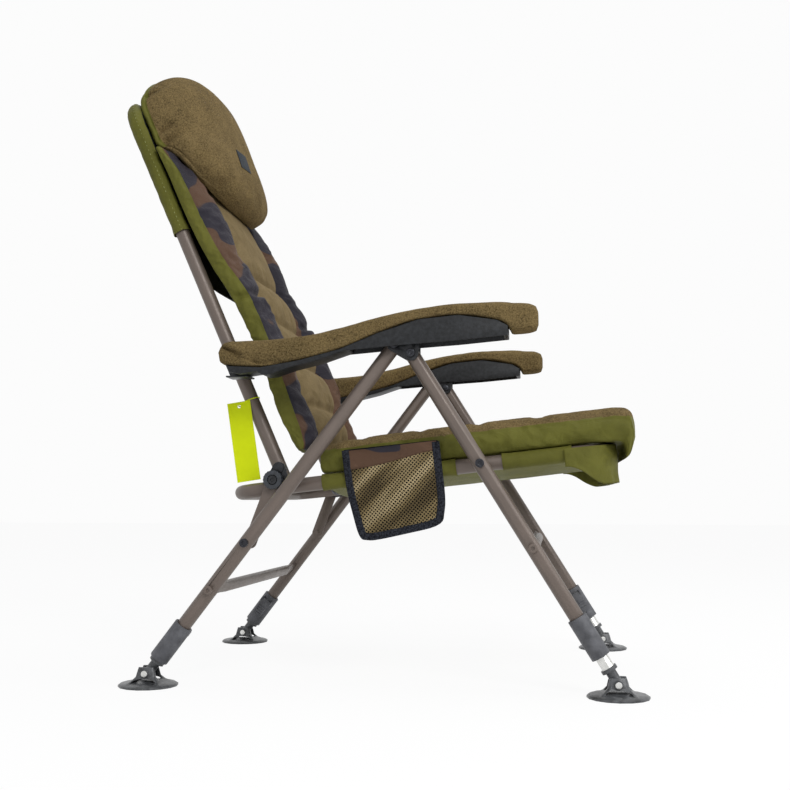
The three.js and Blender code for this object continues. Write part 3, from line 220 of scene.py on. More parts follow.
def relief(tree, bsdf, pattern, depth, strength=1.0):
    """Raises a pattern, whose full range stands depth metres high."""
    node = add_node(
        tree, "ShaderNodeBump", {"Strength": strength, "Distance": depth}, {"Height": pattern},
    )
    tree.links.new(node.outputs["Normal"], bsdf.inputs["Normal"])


def cloth_sheen(bsdf, weight, tint, rough=0.5):
    """Sets a cloth's soft rim of light in its own colour, and takes the plastic gloss off it."""
    bsdf.inputs["Sheen Weight"].default_value = weight
    bsdf.inputs["Sheen Roughness"].default_value = rough
    bsdf.inputs["Sheen Tint"].default_value = tint
    bsdf.inputs["Specular IOR Level"].default_value = 0.12


def powder_coated_steel():
    """Steel tube, powder coated grey-taupe: satin, with a fine orange peel and a slow drift in tone."""
    material, tree, bsdf = new_material("powder_coated_steel", Metallic=0.2, Roughness=0.42)
    coat = chair_sizes().tube_colour
    paint(tree, bsdf, grain(tree, 0.09, 2.0), [(0.3, toned(coat, 0.86)), (0.7, toned(coat, 1.0))])
    uneven_gloss(tree, bsdf, 0.012, 0.36, 0.48)
    relief(tree, bsdf, grain(tree, 0.0016, 2.0), 0.00006)
    return material


def black_coated_steel():
    """Stamped sheet steel, black coated: satin, with lighter patches and a fine grain."""
    material, tree, bsdf = new_material("black_coated_steel", Metallic=0.4, Roughness=0.38)
    paint(tree, bsdf, grain(tree, 0.008, 4.0), [(0.35, "#1b1c1e"), (0.75, "#34363a")])
    relief(tree, bsdf, grain(tree, 0.0015), 0.00012)
    return material


def blackened_screw_steel():
    """Machine screws, chemically blackened: dark and glossy, so rims catch the light."""
    material, tree, bsdf = new_material("blackened_screw_steel", Metallic=0.9, Roughness=0.28)
    paint(tree, bsdf, grain(tree, 0.004), [(0.3, "#2a2b2f"), (0.8, "#4a4b50")])
    return material


def bright_drawn_aluminium():
    """Drawn aluminium tube: bright, with a slightly uneven gloss."""
    material, tree, bsdf = new_material("bright_drawn_aluminium", Metallic=0.85, Roughness=0.3)
    paint(tree, bsdf, grain(tree, 0.006), [(0.3, "#c9c9c6"), (0.7, "#e4e4e1")])
    uneven_gloss(tree, bsdf, 0.002, 0.22, 0.36)
    return material


def glass_filled_nylon():
    """Moulded glass-filled nylon: matte dark grey with a spark-eroded grain."""
    material, tree, bsdf = new_material("glass_filled_nylon", Roughness=0.55)
    paint(tree, bsdf, grain(tree, 0.02, 4.0), [(0.3, "#46474b"), (0.7, "#6b6c71")])
    relief(tree, bsdf, grain(tree, 0.0012), 0.0001)
    return material


def moulded_foot_plastic():
    """Moulded foot plastic: dark, a little glossy, with paler scuffed patches."""
    material, tree, bsdf = new_material("moulded_foot_plastic", Roughness=0.36)
    paint(tree, bsdf, grain(tree, 0.014, 4.0), [(0.35, "#343537"), (0.75, "#696b6e")])
    relief(tree, bsdf, grain(tree, 0.0018), 0.00012)
    return material


def armrest_shell_plastic():
    """Moulded polypropylene tray: near black with a leather-like grain."""
    material, tree, bsdf = new_material(
        "armrest_shell_plastic", Roughness=0.5, Specular_IOR_Level=0.3,
    )
    paint(tree, bsdf, grain(tree, 0.006, 4.0), [(0.35, "#18191b"), (0.75, "#2c2e31")])
    relief(tree, bsdf, grain(tree, 0.0022), 0.00025)
    return material


def clamp_knob_plastic():
    """Moulded acetal knob: blue-grey black, smooth."""
    material, tree, bsdf = new_material("clamp_knob_plastic", Roughness=0.34)
    paint(tree, bsdf, grain(tree, 0.006), [(0.3, "#23262b"), (0.7, "#3d4249")])
    return material


def coated_cloth(name, dark, light, rough=0.55, pitch=0.0016):
    """Coated plain weave with soft creases: threads drawn coarser than real ones, so that they show."""
    material, tree, bsdf = new_material(name, Roughness=rough)
    paint(tree, bsdf, grain(tree, 0.05, 4.0), [(0.3, dark), (0.7, light)])
    creases = grain(tree, 0.035, rough=0.5, distortion=1.2)
    relief(tree, bsdf, layered(tree, (weave(tree, pitch), 0.12), (creases, 3.0)), 0.0011)
    cloth_sheen(bsdf, 0.1, light)
    return material


def olive_oxford_nylon():
    """Oxford nylon, coated: olive with slightly darker patches."""
    cloth = chair_sizes().nylon_colour
    return coated_cloth("olive_oxford_nylon", toned(cloth, 0.7), toned(cloth, 1.0))


def black_backing_and_painted_shade():
    """Backing cloth: black and matte. On the hoop sleeve's front the same black is painted shade."""
    return coated_cloth("black_backing_and_painted_shade", linear("#121314"), linear("#1d1f20"), 0.8)


def woven_label():
    """Woven label: slate grey, with finer threads than the nylon."""
    return coated_cloth("woven_label", linear("#2c3035"), linear("#3a3f45"), 0.7, 0.001)


def printed_nylon(name, shift):
    """Printed nylon: crisp patches of charcoal and brown, about a hand across, over soft creases."""
    material, tree, bsdf = new_material(name, Roughness=0.55)
    patches = grain(tree, 0.11, 1.0, 0.5, 0.6, shift)
    paint(tree, bsdf, patches, [(0.0, "#232229"), (0.50, "#312f37"), (0.51, "#5a4436"), (0.9, "#6d5444")])
    creases = grain(tree, 0.022, rough=0.5, distortion=1.5)
    relief(tree, bsdf, layered(tree, (weave(tree, 0.0016), 0.1), (creases, 2.6)), 0.0011)
    cloth_sheen(bsdf, 0.1, linear("#6d5444"))
    return material


def camouflage_nylon():
    """The bolsters' camouflage print."""
    return printed_nylon("camouflage_nylon", (0.35, 0.0, 0.2))


def pocket_camouflage():
    """The pocket's band, cut from another part of the same print."""
    return printed_nylon("pocket_camouflage", (0.85, 0.0, 0.65))


def short_pile_fleece():
    """Polyester fleece: short brown pile, each tuft a few millimetres with lighter tips."""
    material, tree, bsdf = new_material("short_pile_fleece", Roughness=0.95)
    pile = chair_sizes().fleece_colour
    tips = toned(pile, 1.5)
    tufts = grain(tree, 0.0027, 4.0, 0.75)
    mix = layered(tree, (tufts, 0.8), (grain(tree, 0.05, 2.0), 0.2))
    paint(tree, bsdf, mix, [(0.38, toned(pile, 0.34)), (0.5, toned(pile, 1.0)), (0.64, tips)])
    relief(tree, bsdf, tufts, 0.003)
    cloth_sheen(bsdf, 0.15, tips, 0.6)
    return material


def brushed_suede_cloth():
    """Brushed microfibre suede: tan, very matte, with broad patches where the nap lies over."""
    material, tree, bsdf = new_material("brushed_suede_cloth", Roughness=0.9)
    fibres = grain(tree, 0.0025)
    nap = layered(tree, (grain(tree, 0.04), 0.6), (fibres, 0.4))
    paint(tree, bsdf, nap, [(0.35, "#6f6043"), (0.65, "#897857")])
    relief(tree, bsdf, fibres, 0.0006)
    cloth_sheen(bsdf, 0.12, linear("#897857"))
    return material


def ribbed_binding():
    """Ribbed binding tape: charcoal, with raised threads two millimetres apart."""
    material, tree, bsdf = new_material("ribbed_binding", Roughness=0.8)
    paint(tree, bsdf, grain(tree, 0.003), [(0.38, "#15161c"), (0.62, "#40434c")])
    relief(tree, bsdf, weave(tree, 0.0021), 0.0006, 0.9)
    cloth_sheen(bsdf, 0.1, linear("#40434c"))
    return material


def knitted_net():
    """Knitted polyester net: tan. Slanting bands of shade stand in for the light on its folds."""
    material, tree, bsdf = new_material("knitted_net", Roughness=0.7)
    coords = add_node(tree, "ShaderNodeTexCoord")
    slanted = add_node(
        tree, "ShaderNodeMapping", {"Rotation": (0, math.radians(-46), 0)},
        {"Vector": coords.outputs["Object"]},
    )
    stretched = add_node(
        tree, "ShaderNodeMapping", {"Scale": (34.0, 8.0, 5.0)}, {"Vector": slanted.outputs["Vector"]},
    )
    bands = add_node(
        tree, "ShaderNodeTexNoise", {"Scale": 1.0, "Detail": 1.0},
        {"Vector": stretched.outputs["Vector"]},
    )
    paint(tree, bsdf, bands.outputs["Fac"], [(0.36, "#5e5138"), (0.5, "#8a7956"), (0.64, "#bba983")])
    cloth_sheen(bsdf, 0.1, linear("#b5a07b"))
    return material


def stitching_thread():
    """Bonded polyester thread: pale olive."""
    material, tree, bsdf = new_material("stitching_thread", Roughness=0.6)
    paint(tree, bsdf, grain(tree, 0.003), [(0.3, "#8f9450"), (0.7, "#b4b77c")])
    return material


def coated_card():
    """Coated card: strong lime yellow, slightly glossy."""
    material, tree, bsdf = new_material("coated_card", Roughness=0.5, Specular_IOR_Level=0.2)
    paint(tree, bsdf, grain(tree, 0.04), [(0.3, "#dcec05"), (0.7, "#e6f60c")])
    return material


# Each finish: what makes its material, and its slot
finishes = {
    "steel": (powder_coated_steel, "tube"), "plate": (black_coated_steel, "plate"),
    "screw": (blackened_screw_steel, "bolt"), "bright": (bright_drawn_aluminium, "bright"),
    "nylon": (glass_filled_nylon, "plastic"), "foot": (moulded_foot_plastic, "plastic"),
    "shell": (armrest_shell_plastic, "plastic"), "knob": (clamp_knob_plastic, "plastic"),
    "fleece": (short_pile_fleece, "fleece"), "suede": (brushed_suede_cloth, "suede"),
    "camo": (camouflage_nylon, "olive"), "band": (pocket_camouflage, "olive"),
    "binding": (ribbed_binding, "netting"), "net": (knitted_net, "netting"),
    "thread": (stitching_thread, "olive"), "card": (coated_card, "card"),
    "olive": (olive_oxford_nylon, "olive"), "black": (black_backing_and_painted_shade, "backing"),
    "label": (woven_label, "backing"),
}
looks = {}


def look(name):
    """A finish's material, made once."""
    if name not in looks:
        looks[name] = finishes[name][0]()
    return looks[name]


# Modelling

def select_only(piece):
    """Selects one piece and makes it active."""
    bpy.ops.object.select_all(action="DESELECT")
    piece.select_set(True)
    bpy.context.view_layer.objects.active = piece


@contextmanager
def editing(piece):
    """Edit mode on one piece with everything in it selected."""
    select_only(piece)
    bpy.ops.object.mode_set(mode="EDIT")
    bpy.ops.mesh.select_all(action="SELECT")
    yield
    bpy.ops.object.mode_set(mode="OBJECT")


def apply_modifier(piece, kind, **settings):
    """Adds a modifier with its settings and applies it."""
    modifier = piece.modifiers.new(kind.lower(), kind)
    for name, value in settings.items():
        setattr(modifier, name, value)
    select_only(piece)
    bpy.ops.object.modifier_apply(modifier=modifier.name)


def soften(piece, angle=40):
    """Smooths all but the edges sharper than angle."""
    select_only(piece)
    bpy.ops.object.shade_smooth_by_angle(angle=math.radians(angle))


def settle(piece, name, finish, body, replaced=()):
    """Names a finished piece, gives it its material and body, and hides what it stands for."""
    piece.name = name
    piece.data.name = name
    if finish:
        piece.data.materials.clear()
        piece.data.materials.append(look(finish))
    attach(piece, body)
    if replaced:
        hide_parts(*replaced)
    return piece


def from_points(name, points, faces, edges=()):
    """A new piece from its points, faces and edges."""
    mesh = bpy.data.meshes.new(name)
    mesh.from_pydata([tuple(p) for p in points], list(edges), list(faces))
    mesh.update()
    piece = bpy.data.objects.new(name, mesh)
    bpy.context.scene.collection.objects.link(piece)
    return piece


def moved(piece, matrix):
    """Places a piece by changing its mesh, so its object stays at the origin."""
    piece.data.transform(matrix)
    piece.data.update()
    return piece


def upright(at, along, side=across):
    """A frame whose local Z runs along, with local Y towards side."""
    z = along.normalized()
    x = side.cross(z).normalized()
    y = z.cross(x)
    rows = [[x[i], y[i], z[i], at[i]] for i in range(3)]
    return Matrix(rows + [[0, 0, 0, 1]])


def turned(name, profile):
    """A lathe-turned piece about local Z, from [radius, height] points."""
    points = [(radius, 0, height) for radius, height in profile]
    piece = from_points(name, points, [], [(i, i + 1) for i in range(len(points) - 1)])
    with editing(piece):
        bpy.ops.mesh.spin(steps=tube_facets, angle=2 * math.pi, center=(0, 0, 0), axis=(0, 0, 1))
        bpy.ops.mesh.select_all(action="SELECT")
        bpy.ops.mesh.remove_doubles(threshold=1e-6)
        bpy.ops.mesh.normals_make_consistent(inside=False)
    return piece


def dressed(name, node, finish, body, bevel=0.0006, segments=2):
    """A CAD node's copy, merged, with its flat faces made whole and its edges rounded."""
    piece = bpy.data.objects.new(name, frame["nodes"][node].data.copy())
    bpy.context.scene.collection.objects.link(piece)
    with editing(piece):
        bpy.ops.mesh.remove_doubles(threshold=1e-6)
        bpy.ops.mesh.dissolve_limited(angle_limit=math.radians(0.5))
    sharp = math.radians(32)
    apply_modifier(
        piece, "BEVEL", width=bevel, segments=segments, limit_method="ANGLE", angle_limit=sharp,
    )
    soften(piece)
    return settle(piece, name, finish, body, [node])


def bent_tube(start, direction, moves, closed=False):
    """A round tube made as by hand: a ring of edges drawn out straight, then spun through each bend.

    The moves are ("run", way) and ("turn", centre, axis, angle); the spin operator turns the other way.
    """
    bpy.ops.object.select_all(action="DESELECT")
    bpy.ops.mesh.primitive_circle_add(vertices=tube_facets, radius=tube_radius, location=(0, 0, 0))
    piece = bpy.context.active_object
    moved(piece, upright(start, direction))
    with editing(piece):
        for kind, *values in moves:
            if kind == "run":
                bpy.ops.mesh.extrude_region_move(TRANSFORM_OT_translate={"value": values[0]})
            else:
                centre, axis, angle = values
                bpy.ops.mesh.spin(steps=bend_steps, angle=-angle, center=centre, axis=axis)
        bpy.ops.mesh.select_all(action="SELECT")
        if closed:
            bpy.ops.mesh.remove_doubles(threshold=1e-5)
        bpy.ops.mesh.normals_make_consistent(inside=False)
    return piece


def grid_faces(rows, columns, round_rows=True):
    """Quads between rows of points; each row closes on itself unless told not to."""
    faces = []
    for i in range(rows - 1):
        for j in range(columns if round_rows else columns - 1):
            k = (j + 1) % columns
            low, high = i * columns, (i + 1) * columns
            faces.append((low + j, low + k, high + k, high + j))
    return faces


def skin(name, rings):
    """A closed skin over rings of points, each end drawn in to a middle point."""
    count = len(rings[0])
    points = [p for ring in rings for p in ring]
    faces = grid_faces(len(rings), count)
    for ring, start in ((rings[0], 0), (rings[-1], (len(rings) - 1) * count)):
        points.append(sum(ring, Vector()) / count)
        faces += [(len(points) - 1, start + (j + 1) % count, start + j) for j in range(count)]
    piece = from_points(name, points, faces)
    with editing(piece):
        bpy.ops.mesh.normals_make_consistent(inside=False)
    return piece


def eased(table, at, column):
    """A smooth value between a table's rows, by its first column."""
    if at <= table[0][0]:
        return table[0][column]
    for i in range(len(table) - 1):
        x0, x1 = table[i][0], table[i + 1][0]
        if at <= x1:
            y0, y1 = table[i][column], table[i + 1][column]
            rise = (y1 - y0) / (x1 - x0)
            before = (y0 - table[i - 1][column]) / (x0 - table[i - 1][0]) if i else rise
            after = (table[i + 2][column] - y1) / (table[i + 2][0] - x1) if i + 2 < len(table) else rise
            m0 = 0 if before * rise <= 0 else 2 * before * rise / (before + rise)
            m1 = 0 if after * rise <= 0 else 2 * after * rise / (after + rise)
            t = (at - x0) / (x1 - x0)
            h = x1 - x0
            return (
                (2 * t ** 3 - 3 * t ** 2 + 1) * y0 + (t ** 3 - 2 * t ** 2 + t) * h * m0
                + (3 * t ** 2 - 2 * t ** 3) * y1 + (t ** 3 - t ** 2) * h * m1
            )
    return table[-1][column]


def spread(start, end, count):
    """Evenly spaced values from start to end."""
    return [start + (end - start) * i / (count - 1) for i in range(count)]


def near(value, centre, width):
    """1 at the centre, falling away over width."""
    return math.exp(-((value - centre) / width) ** 2)


def fill_out(piece, held, pressure, cap, swell):
    """Blows a padded piece up between its seams with the cloth solver; no point moves more than cap."""
    group = piece.vertex_groups.new(name="sewn")
    for index, weight in enumerate(held):
        if weight > 0:
            group.add([index], weight, "REPLACE")
    before = [v.co.copy() for v in piece.data.vertices]
    cloth = piece.modifiers.new("filling", "CLOTH")
    cloth.settings.vertex_group_mass = "sewn"
    cloth.settings.use_pressure = True
    cloth.settings.uniform_pressure_force = pressure
    cloth.settings.effector_weights.gravity = 0
    cloth.settings.shrink_min = -swell
    cloth.settings.quality = 4
    cloth.collision_settings.use_collision = False
    filling_steps = 18
    for step in range(1, filling_steps + 1):
        bpy.context.scene.frame_set(step)
    select_only(piece)
    bpy.ops.object.modifier_apply(modifier=cloth.name)
    bpy.context.scene.frame_set(1)
    for vertex, start in zip(piece.data.vertices, before):
        push = vertex.co - start
        if push.length > cap:
            vertex.co = start + push * (cap / push.length)
    piece.vertex_groups.clear()
    piece.data.update()


def crumple(piece, amount, size, where):
    """Creases cloth: sharp-crested noise moves each point along its normal; where gives its share."""
    normals = [vertex.normal.copy() for vertex in piece.data.vertices]
    for vertex, normal in zip(piece.data.vertices, normals):
        share = where(vertex.co)
        if share > 0:
            spot = vertex.co / size
            bent = spot + Vector((0.0, 0.0, 1.3 * noise.noise(spot * 0.5)))
            vertex.co += normal * (amount * share * (0.35 - abs(noise.noise(bent)) * 2.2))
    piece.data.update()


def all_smooth(piece):
    """Smooths every face."""
    for face in piece.data.polygons:
        face.use_smooth = True


def painted_by_place(piece, names, chooser):
    """Gives each face one of several finishes, by the number that chooser gives it, and smooths it."""
    piece.data.materials.clear()
    for name in names:
        piece.data.materials.append(look(name))
    for face in piece.data.polygons:
        face.material_index = chooser(face)
    all_smooth(piece)


def thick_cloth(piece, thickness):
    """Gives cloth its thickness, half of it to each side."""
    apply_modifier(piece, "SOLIDIFY", thickness=thickness, offset=0.0)
    all_smooth(piece)


def stitch_row(name, points, length):
    """A row of thread stitches along points: short five-sided beads."""
    gap, radius, sides_round = 0.0022, 0.00045, 5
    bead = [
        (radius * 0.3, -length / 2), (radius, -length / 3),
        (radius, length / 3), (radius * 0.3, length / 2),
    ]
    corners, faces = [], []
    at = 0.0
    for start, end in zip(points, points[1:]):
        span = (end - start).length
        direction = (end - start).normalized()
        while at + length < span:
            matrix = upright(start + direction * (at + length / 2), direction, Vector((0.31, 0.83, 0.46)))
            base = len(corners)
            for r, h in bead:
                for k in range(sides_round):
                    turn = 2 * math.pi * k / sides_round
                    corners.append(matrix @ Vector((r * math.cos(turn), r * math.sin(turn), h)))
            faces += [[base + i for i in face] for face in grid_faces(len(bead), sides_round)]
            faces.append([base + k for k in reversed(range(sides_round))])
            faces.append([base + (len(bead) - 1) * sides_round + k for k in range(sides_round)])
            at += length + gap
        at = max(0.0, at - span)
    return from_points(name, corners, faces)


def cloth_tube(name, path, radii, facets, wrinkle):
    """A loose, puckered sleeve round a path of (point, direction, normal); radii gives its radius."""
    rings = []
    for index, (point, direction, normal) in enumerate(path):
        side = direction.cross(normal)
        ring = []
        for k in range(facets):
            turn = 2 * math.pi * k / facets
            radius = radii(index, turn)
            spot = point + normal * (radius * math.cos(turn)) + side * (radius * math.sin(turn))
            ripple = noise.noise(spot * 70) + 0.6 * noise.noise(spot * 190)
            ring.append(spot + (spot - point).normalized() * max(0.0, wrinkle * ripple + wrinkle))
        rings.append(ring)
    piece = from_points(name, [p for ring in rings for p in ring], grid_faces(len(rings), facets))
    with editing(piece):
        bpy.ops.mesh.normals_make_consistent(inside=False)
    all_smooth(piece)
    return piece


# Sizes and colours that a user would change

class ChairSizes(bpy.types.PropertyGroup):
    """Sizes of the soft goods and their making, and the main colours"""

    puff_depth: bpy.props.FloatProperty(
        name="Puff depth", description="How deep the sewn channels of the back lie",
        default=0.010, unit="LENGTH",
    )
    seat_channel: bpy.props.FloatProperty(
        name="Seat channel", description="Distance between the seat's sewn channels",
        default=0.103, unit="LENGTH",
    )
    net_pitch: bpy.props.FloatProperty(
        name="Net pitch", description="Distance between the net's strands", default=0.0046, unit="LENGTH",
    )
    strand: bpy.props.FloatProperty(
        name="Strand", description="Width of the net's strands", default=0.0019, unit="LENGTH",
    )
    stitch: bpy.props.FloatProperty(
        name="Stitch", description="Length of one stitch", default=0.0036, unit="LENGTH",
    )
    filling: bpy.props.FloatProperty(
        name="Filling", description="Pressure that blows the cushions up", default=2.5, min=0.0, max=10.0,
    )
    fleece_colour: bpy.props.FloatVectorProperty(
        name="Fleece", description="Colour of the fleece pile",
        default=linear("#7a6845"), size=4, subtype="COLOR",
    )
    nylon_colour: bpy.props.FloatVectorProperty(
        name="Nylon", description="Colour of the plain nylon",
        default=linear("#6f6e30"), size=4, subtype="COLOR",
    )
    tube_colour: bpy.props.FloatVectorProperty(
        name="Tubes", description="Colour of the tubes' coat",
        default=linear("#72665e"), size=4, subtype="COLOR",
    )


def chair_sizes():
    """The sizes and colours as the user has set them."""
    return bpy.context.scene.chair_sizes


# Rigid pieces

class CHAIR_OT_seat_ring(bpy.types.Operator):
    """Seat ring: one tube bent at four corners"""

    bl_idname = "chair.seat_ring"
    bl_label = "Seat ring"

    def execute(self, context):
        front, rear = ring_front - ring_front_bend, -ring_rear + ring_rear_bend
        front_side, rear_side = seat_half - ring_front_bend, seat_half - ring_rear_bend
        piece = bent_tube(seat_point(rear, 0, -seat_half), seat_forward, [
            ("run", seat_forward * (front - rear)),
            ("turn", seat_point(front, 0, -front_side), seat_up, quarter),
            ("run", across * (2 * front_side)),
            ("turn", seat_point(front, 0, front_side), seat_up, quarter),
            ("run", seat_forward * (rear - front)),
            ("turn", seat_point(rear, 0, rear_side), seat_up, quarter),
            ("run", across * (-2 * rear_side)),
            ("turn", seat_point(rear, 0, -rear_side), seat_up, quarter),
        ], closed=True)
        soften(piece, 50)
        settle(piece, "seat_ring_tube", "steel", "seat", ["seat_frame"])
        return {"FINISHED"}


class CHAIR_OT_back_hoop(bpy.types.Operator):
    """Back hoop with its end plugs and the two bosses for the armrests"""

    bl_idname = "chair.back_hoop"
    bl_label = "Back hoop"

    def execute(self, context):
        rise, span = hoop_height - hoop_bend, back_half - hoop_bend
        axis = back_along.cross(across)
        tube = bent_tube(back_point(0, 0, -back_half), back_along, [
            ("run", back_along * rise),
            ("turn", back_point(rise, 0, -span), axis, quarter),
            ("run", across * (2 * span)),
            ("turn", back_point(rise, 0, span), axis, quarter),
            ("run", back_along * -rise),
        ])
        soften(tube, 50)
        settle(tube, "back_hoop_tube", "steel", "back", ["back_frame"])
        armrest_height = 0.2371
        boss_radius = 0.0078
        boss_length = arm_half - arm_half_width - lug_thickness - 2 * touch - back_half
        plug_profile = [(0, -tube_radius)]
        for turn in spread(0.25, quarter, 7):
            plug_profile.append((tube_radius * math.sin(turn), -tube_radius * math.cos(turn)))
        brim, brim_height, rim = tube_radius * 1.02, 0.002, 0.0006
        plug_profile += [
            (brim, 0.0), (brim, brim_height), (tube_radius * 0.8, brim_height), (0, brim_height),
        ]
        boss_profile = [
            (0, 0), (boss_radius, 0), (boss_radius, boss_length - rim), (boss_radius - rim, boss_length),
            (0, boss_length),
        ]
        for side, sign in sides.items():
            plug = turned("back_plug", plug_profile)
            moved(plug, upright(back_point(0, 0, sign * back_half), back_along))
            soften(plug)
            settle(plug, f"back_plug_{side}", "nylon", "back")
            boss = turned("armrest_boss", boss_profile)
            root = back_point(armrest_height, 0, sign * back_half)
            moved(boss, upright(root, across * sign, Vector((0, 0, 1))))
            soften(boss)
            settle(boss, f"armrest_boss_{side}", "screw", "back")
        return {"FINISHED"}


class CHAIR_OT_fittings(bpy.types.Operator):
    """Legs, stretchers, plates, stays, bolts, sleeves, levers and feet, with rounded edges"""

    bl_idname = "chair.fittings"
    bl_label = "Legs and fittings"

    def execute(self, context):
        ends = ("front", "rear")
        screw_heads = leg_half + tube_radius + 0.0008
        foot_neck = 0.0305
        for side in sides:
            for end in ends:
                at, legs = f"{end}_{side}", f"{end}_legs"
                outer = dressed(f"outer_leg_{at}", f"leg_{at}", "steel", legs, 0.0004)
                painted_by_place(
                    outer, ["steel", "screw"], lambda face: int(abs(face.center.y) > screw_heads),
                )
                soften(outer)
                dressed(f"grip_sleeve_{at}", f"lock_sleeve_{at}", "nylon", legs, 0.0009)
                dressed(f"lever_{at}", f"lock_lever_{at}", "nylon", f"lever_{at}")
                dressed(f"foot_{at}", f"mud_foot_{at}", "foot", f"foot_{at}", 0.0005)
                dressed(f"foot_rivet_{at}", f"foot_pin_{at}", "bright", f"foot_{at}", 0.0005)
                inner = dressed(
                    f"inner_leg_{at}_tube", f"inner_leg_{at}", "bright", f"extension_{at}", 0.0005,
                )
                pin = pivots[f"foot_tilt_{at}"]
                painted_by_place(
                    inner, ["bright", "foot"], lambda face: int((face.center - pin).length <= foot_neck),
                )
                soften(inner)
                dressed(f"bracket_bolt_{at}", f"armrest_bolt_{at}", "screw", f"armrest_{side}", 0.0005)
            armrest = f"armrest_{side}"
            dressed(f"hinge_plate_{side}_steel", f"hinge_plate_{side}", "plate", "seat", 0.0005)
            dressed(f"pivot_screw_{side}", f"pivot_bolt_{side}", "screw", "seat", 0.0005)
            dressed(f"leg_screw_{side}", f"leg_bolt_{side}", "screw", "seat", 0.0005)
            dressed(f"stay_{side}_strip", f"stay_{side}", "steel", f"stay_{side}", 0.0005)
            dressed(f"clamp_knob_{side}_body", f"clamp_knob_{side}", "knob", f"clamp_knob_{side}")
            dressed(f"bracket_{side}", f"armrest_bracket_{side}", "plate", armrest)
            dressed(f"rear_lug_{side}", f"armrest_lug_{side}", "plate", armrest, 0.0005)
            dressed(f"armrest_tray_{side}", f"armrest_shell_{side}", "shell", armrest, 0.0012, 3)
        for end in ends:
            dressed(f"stretcher_{end}_tube", f"stretcher_{end}", "steel", f"{end}_legs", 0.0004)
        return {"FINISHED"}


# Padding

class CHAIR_OT_seat_cushion(bpy.types.Operator):
    """Seat cushion: fleece top in sewn channels, nylon sides, rolled over the front bar"""

    bl_idname = "chair.seat_cushion"
    bl_label = "Seat cushion"

    def execute(self, context):
        half, length = 0.249, 0.603
        channelled, seam_shift = (0.06, 0.48), 0.014
        channel = chair_sizes().seat_channel
        # Each row: place along the cushion, then low edge (forward, up) and high edge (forward, up)
        rows = [
            (0.000, 0.0700, 0.030, 0.0705, 0.045), (0.006, 0.0675, 0.020, 0.0690, 0.057),
            (0.020, 0.0740, 0.015, 0.0760, 0.063), (0.050, 0.1000, 0.0146, 0.1000, 0.0675),
            (0.180, 0.2300, 0.0146, 0.2300, 0.0700), (0.330, 0.3800, 0.0146, 0.3800, 0.0700),
            (0.450, 0.5000, 0.0146, 0.5000, 0.0690), (0.500, 0.5500, 0.0140, 0.5720, 0.0690),
            (0.516, 0.5770, 0.0115, 0.5980, 0.0655), (0.528, 0.5830, 0.0070, 0.6065, 0.0560),
            (0.548, 0.5850, -0.0010, 0.6060, 0.0340), (0.568, 0.5850, -0.0080, 0.6020, 0.0160),
            (0.590, 0.5840, -0.0140, 0.5960, -0.0030), (0.603, 0.5830, -0.0175, 0.5890, -0.0140),
        ]
        under, flank, top = 14, 12, 44
        seam_share = 0.74

        def seam_at(at, width):
            """1 on a channel's seam, falling away over width, and 0 where the seat has no channels."""
            if not channelled[0] < at < channelled[1]:
                return 0.0
            place = (at + seam_shift) % channel
            return max(near(place, 0.0, width), near(place, channel, width))

        def section(at):
            low = Vector((eased(rows, at, 1), eased(rows, at, 2)))
            high = Vector((eased(rows, at, 3), eased(rows, at, 4)))
            dip = 0.0012 * seam_at(at, 0.006)
            depth = (high - low).length
            blunt = min(1.0, depth / 0.05)
            points = []

            def place(height, y):
                spot = low + (high - low) * height
                return seat_point(spot.x, spot.y, y)

            for t in spread(0, 0.97, under):
                points.append(place(0, half * t))
            for t in spread(0, 1, flank + 2)[1:-1]:
                bulge = 0.972 + 0.03 * math.sin(math.pi * t) * blunt
                points.append(place(seam_share * t, half * bulge))
            for t in spread(0, 1, top):
                share = 0.985 * (1 - t)
                rise = (1 - (share / 0.985) ** 9) ** 0.5
                crown = 0.006 * (1 - share ** 2) * blunt
                height = seam_share + (1 - seam_share) * rise + (crown - dip * rise) / depth
                points.append(place(height, half * share))
            right = [Vector((p.x, -p.y, p.z)) for p in points]
            return points + right[-2:0:-1]

        stations = spread(0, length, 116)
        rings = [section(at) for at in stations]
        piece = skin("seat_padding", rings)
        count = len(rings[0])
        seam_ring = under + flank
        held = []
        for i, at in enumerate(stations):
            for j in range(count):
                k = min(j, count - j)
                stay = 1.0 if k < under else 0.9 * near(k, seam_ring, 0.7)
                if k > seam_ring:
                    stay = max(stay, seam_at(at, 0.005))
                if i < 3 or i > len(stations) - 6:
                    stay = 1.0
                held.append(stay)
        held += [1.0, 1.0]
        fill_out(piece, held, chair_sizes().filling, 0.0022, 0.012)
        apply_modifier(piece, "SUBSURF", levels=1, render_levels=1)
        crumple(piece, 0.0022, 0.035, lambda spot: float((spot - back_pivot).dot(seat_up) > 0.02))
        seam_line = 0.0555

        def finish_of(face):
            """The fleece covers the top down to the seam, which falls a little at the front."""
            centre = face.center - back_pivot
            forward, up = centre.dot(seat_forward), centre.dot(seat_up)
            edge = seam_line - 0.004 * max(0.0, (forward - 0.56) / 0.04)
            inner = abs(centre.y) < half * 0.955 and up > 0.045 and forward < 0.600
            return 0 if up > edge or inner else 1

        painted_by_place(piece, ["fleece", "olive"], finish_of)
        settle(piece, "seat_padding", None, "seat", ["seat_cushion"])
        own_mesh(piece)
        return {"FINISHED"}


